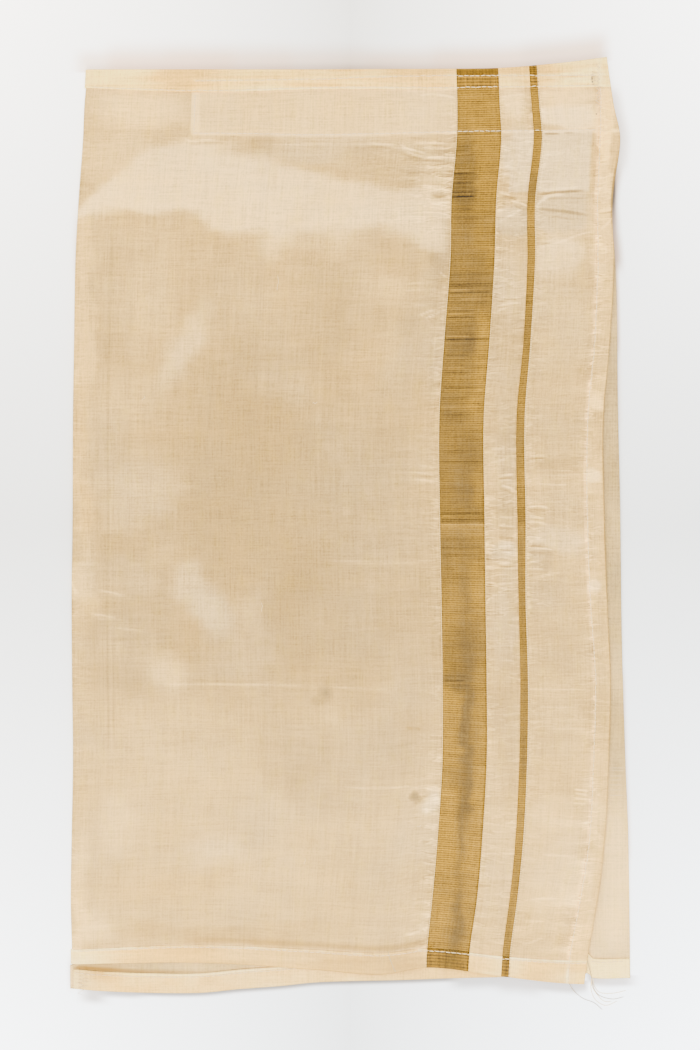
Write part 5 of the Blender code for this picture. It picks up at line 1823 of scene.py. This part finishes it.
# Pale crosswise threads that show on the layer beside the side edge
# Columns: from_x, to_x, y
RUNG_ROWS = (
    (156.6, 164.0, -145.6), (156.2, 164.4, -146.9), (155.8, 163.6, -150.4),
    (156.0, 163.0, -152.8), (155.4, 163.6, -155.8), (155.4, 162.8, -158.8),
    (155.2, 164.6, -162.0),
)
SLUB_RADIUS, GREY_THREAD_RADIUS = 0.11, 0.13
GREY_THREAD = ((22.7, -255.6), (23.3, -258.4), (24.5, -261.6), (25.7, -264.8), (27.3, -267.9))


def leaf_numbers_at(x, y):
    """Warp and weft numbers of places on the leaf."""
    lines = np.stack([warp_line(line, y) for line in range(FOLD, SIDE_EDGE + 1)])
    warp = np.array([np.interp(at, lines[:, k], range(len(lines))) for k, at in enumerate(x)])
    lines = np.stack([weft_line(line, x) for line in range(WAIST_EDGE, FOOT_EDGE + 1)])
    weft = np.array([np.interp(-at, -lines[:, k], range(len(lines))) for k, at in enumerate(y)])
    return warp, weft


def make_slubs():
    """Thicker places in single threads of the cloth, and the odd thread lying on it."""
    lines = []
    for x, y, length, turn in SLUB_ROWS:
        steps = np.linspace(-0.5, 0.5, 9) * length
        bend = 0.35 * np.sin(np.linspace(0, 2.5 * math.pi, 9))
        turn = math.radians(turn)
        xs = x + steps * math.cos(turn) - bend * math.sin(turn)
        ys = y + steps * math.sin(turn) + bend * math.cos(turn)
        warp, weft = leaf_numbers_at(xs, ys)
        points = surface_lines(np.stack([warp, weft], axis=1), 0.0)
        points[:, 0] = xs
        lines.append(points + (0, 0, -0.02))
    for from_x, to_x, y in RUNG_ROWS:
        xs = np.linspace(from_x, to_x, 9)
        ys = np.full(9, y)
        lines.append(np.stack([xs, ys, layers_height(xs, ys) + 0.03], axis=1))
    slubs = thread_mesh("slub_threads", lines, SLUB_RADIUS, tack_thread)
    xs, ys = np.array(GREY_THREAD).T
    warp, weft = leaf_numbers_at(xs, ys)
    points = surface_lines(np.stack([warp, weft], axis=1), HEM_RISE)
    points[:, 0] = xs
    grey = thread_mesh("grey_thread_on_hem", [smooth_line(points + (0, 0, 0.08), 24)],
                       GREY_THREAD_RADIUS, grey_thread)
    return slubs, grey


# ---------------------------------------------------------------- table, light and camera

# Shaded stretches of the table close beside the cloth's edges, full to near and gone at far
# Columns: edge, start, end, near, far, grey, warm
EDGE_SHADE_ROWS = (
    ("waist", -164, -146, 6.0, 16.0, 0.0, 0.66),
    ("waist", -146, -112, 5.0, 21.0, 0.0, 0.88),
    ("waist", -112, -70, 6.5, 21.0, 0.0, 0.9),
    ("waist", -70, -35, 6.0, 21.0, 0.0, 0.8),
    ("waist", -35, 10, 6.0, 20.0, 0.0, 0.7),
    ("waist", 10, 50, 5.5, 18.0, 0.0, 0.78),
    ("waist", 50, 104, 6.5, 20.0, 0.0, 0.88),
    ("waist", 104, 154, 7.0, 21.0, 0.12, 0.85),
    ("foot", -161, -148, 4.5, 10.0, 0.5, 0.35),
    ("foot", -148, -126, 1.2, 5.0, 0.65, 0.3),
    ("foot", -126, 62, 0.8, 3.4, 0.72, 0.3),
    ("foot", 62, 90, 2.5, 9.5, 0.5, 0.2),
    ("foot", 90, 114, 4.0, 13.0, 0.46, 0.3),
    ("foot", 114, 140, 4.0, 8.5, 0.5, 0.3),
    ("foot", 140, 153, 2.0, 6.5, 0.46, 0.45),
    ("foot", 153, 170, 3.0, 6.5, 0.45, 0.3),
    ("left", -278, -262, 0.0, 2.5, 0.3, 0.4),
    ("left", 150, 190, 0.0, 3.0, 0.05, 0.3),
    ("right", -200, -90, 0.0, 3.0, 0.05, 0.4),
    ("right", 60, 105, 0.0, 3.5, 0.0, 0.4),
    ("right", 105, 155, 0.3, 3.0, 0.15, 0.8),
    ("right", 155, 188, 0.6, 7.0, 0.5, 0.9),
    ("right", 188, 214, 0.8, 6.0, 0.4, 0.8),
    ("right", 214, 262, 2.0, 9.0, 0.3, 0.3),
)
GAP_SHADE = (157.9, 204.0, 1.8, 17.0, 1.5, 0.75)    # the dark slot beside the lifted side edge
LEAF_FOOT_END = 143     # the leaf's foot edge ends here, and only the lower layers go on
SHADE_FADE = 6          # the ends of each stretch fade over this much both ways


def outside_edges(x, y):
    """How far points lie outside each edge of the cloth, and where along that edge."""
    lower = lower_foot_line(x)
    foot = np.where(x > LEAF_FOOT_END, lower, np.minimum(lower, weft_line(FOOT_EDGE, x)))
    side = np.maximum(right_fold_line(y), warp_line(SIDE_EDGE, y))
    return {"waist": (y - weft_line(WAIST_EDGE, x), x), "foot": (foot - y, x),
            "left": (warp_line(FOLD, y) - x, y), "right": (x - side, y)}


def table_shade(x, y):
    """Grey and warm shading of the table beside the cloth."""
    edges = outside_edges(x, y)
    grey, warm = mounds((GAP_SHADE,), x, y), np.zeros_like(x)
    for edge, start, end, near, far, grey_amount, warm_amount in EDGE_SHADE_ROWS:
        away, along = edges[edge]
        part = soft_step(far, near, away) * (away > -1.5)
        part = part * soft_step(start - SHADE_FADE, start + SHADE_FADE, along)
        part = part * soft_step(end + SHADE_FADE, end - SHADE_FADE, along)
        grey += grey_amount * part
        warm += warm_amount * part
    return np.clip(grey, 0, 0.9), np.clip(warm, 0, 1)


TABLE_REACH = 2000


def make_table():
    """A plain top, finer near the cloth so that its shading is smooth."""
    across = stations((-TABLE_REACH, 1), (-216, 122), (150, 28), (171, 15), (216, 1),
                      (TABLE_REACH,))
    down = stations((TABLE_REACH, 1), (324, 13), (285, 15), (270, 177), (-261, 38), (-290, 11),
                    (-324, 1), (-TABLE_REACH,))
    x, y = (grid.ravel() for grid in np.meshgrid(across, down))
    grey, warm = table_shade(x, y)
    table = mesh_object("table_top", np.stack([x, y, 0 * x], axis=1),
                        grid_faces(len(across), len(down)), table_finish(),
                        {"shade": grey, "warm": warm})


WARM_LIGHT = (1.0, 0.93, 0.82)
SKY_STRENGTH = 2.0
# Columns: name, place and size in metres, power
LIGHT_ROWS = (
    ("key_softbox", (-0.35, -0.9, 1.5), (1.1, 0.8), 55.0),
    ("top_softbox", (0.2, 0.2, 1.9), (1.6, 1.6), 45.0),
)


def area_light(name, location, size, energy):
    """A soft rectangular light, aimed at the middle of the cloth."""
    data = bpy.data.lights.new(name, "AREA")
    data.shape = "RECTANGLE"
    data.size, data.size_y = size
    data.energy = energy
    data.color = WARM_LIGHT
    light = bpy.data.objects.new(name, data)
    light.location = location
    direction = -np.array(location, float)
    light.rotation_euler = (
        math.atan2(math.hypot(direction[0], direction[1]), -direction[2]), 0,
        math.atan2(direction[1], direction[0]) + math.pi / 2 + math.pi)
    bpy.context.scene.collection.objects.link(light)


VIEW_LENGTH = 0.630     # metres of table seen from top to bottom of the picture
CAMERA_HEIGHT = 1.8
CAMERA_OFFSET = (-0.00015, 0.0003)


def make_light_and_camera():
    """Warm even light from above, and a camera that looks straight down."""
    world = bpy.data.worlds.new("studio")
    bpy.context.scene.world = world
    world.use_nodes = True
    world.node_tree.nodes["Background"].inputs["Color"].default_value = (*WARM_LIGHT, 1.0)
    world.node_tree.nodes["Background"].inputs["Strength"].default_value = SKY_STRENGTH
    for row in LIGHT_ROWS:
        area_light(*row)
    data = bpy.data.cameras.new("overhead")
    data.sensor_fit = "VERTICAL"
    data.sensor_height = 36.0
    data.lens = data.sensor_height * (CAMERA_HEIGHT - LEAF_TOP * MM) / VIEW_LENGTH
    camera = bpy.data.objects.new("overhead", data)
    camera.location = (*CAMERA_OFFSET, CAMERA_HEIGHT)
    bpy.context.scene.collection.objects.link(camera)
    bpy.context.scene.camera = camera


# ---------------------------------------------------------------- all together

def main():
    left, middle, side = make_leaf()
    bands = make_bands()
    hems = make_hems()
    layers = make_layers()
    lower_hems = [make_lower_hem(*row) for row in LOWER_HEM_ROWS]
    sewing = [make_stitches(), make_lower_stitches(), *make_tacks(), *make_loose_threads(),
              *make_slubs()]
    for piece in (left, middle, side, *bands, *hems, layers, *lower_hems, *sewing):
        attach(piece, BODY)
    for node in ("waist_strip", "care_label"):
        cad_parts[node].material_slots[0].material = tape
    make_table()
    make_light_and_camera()


main()
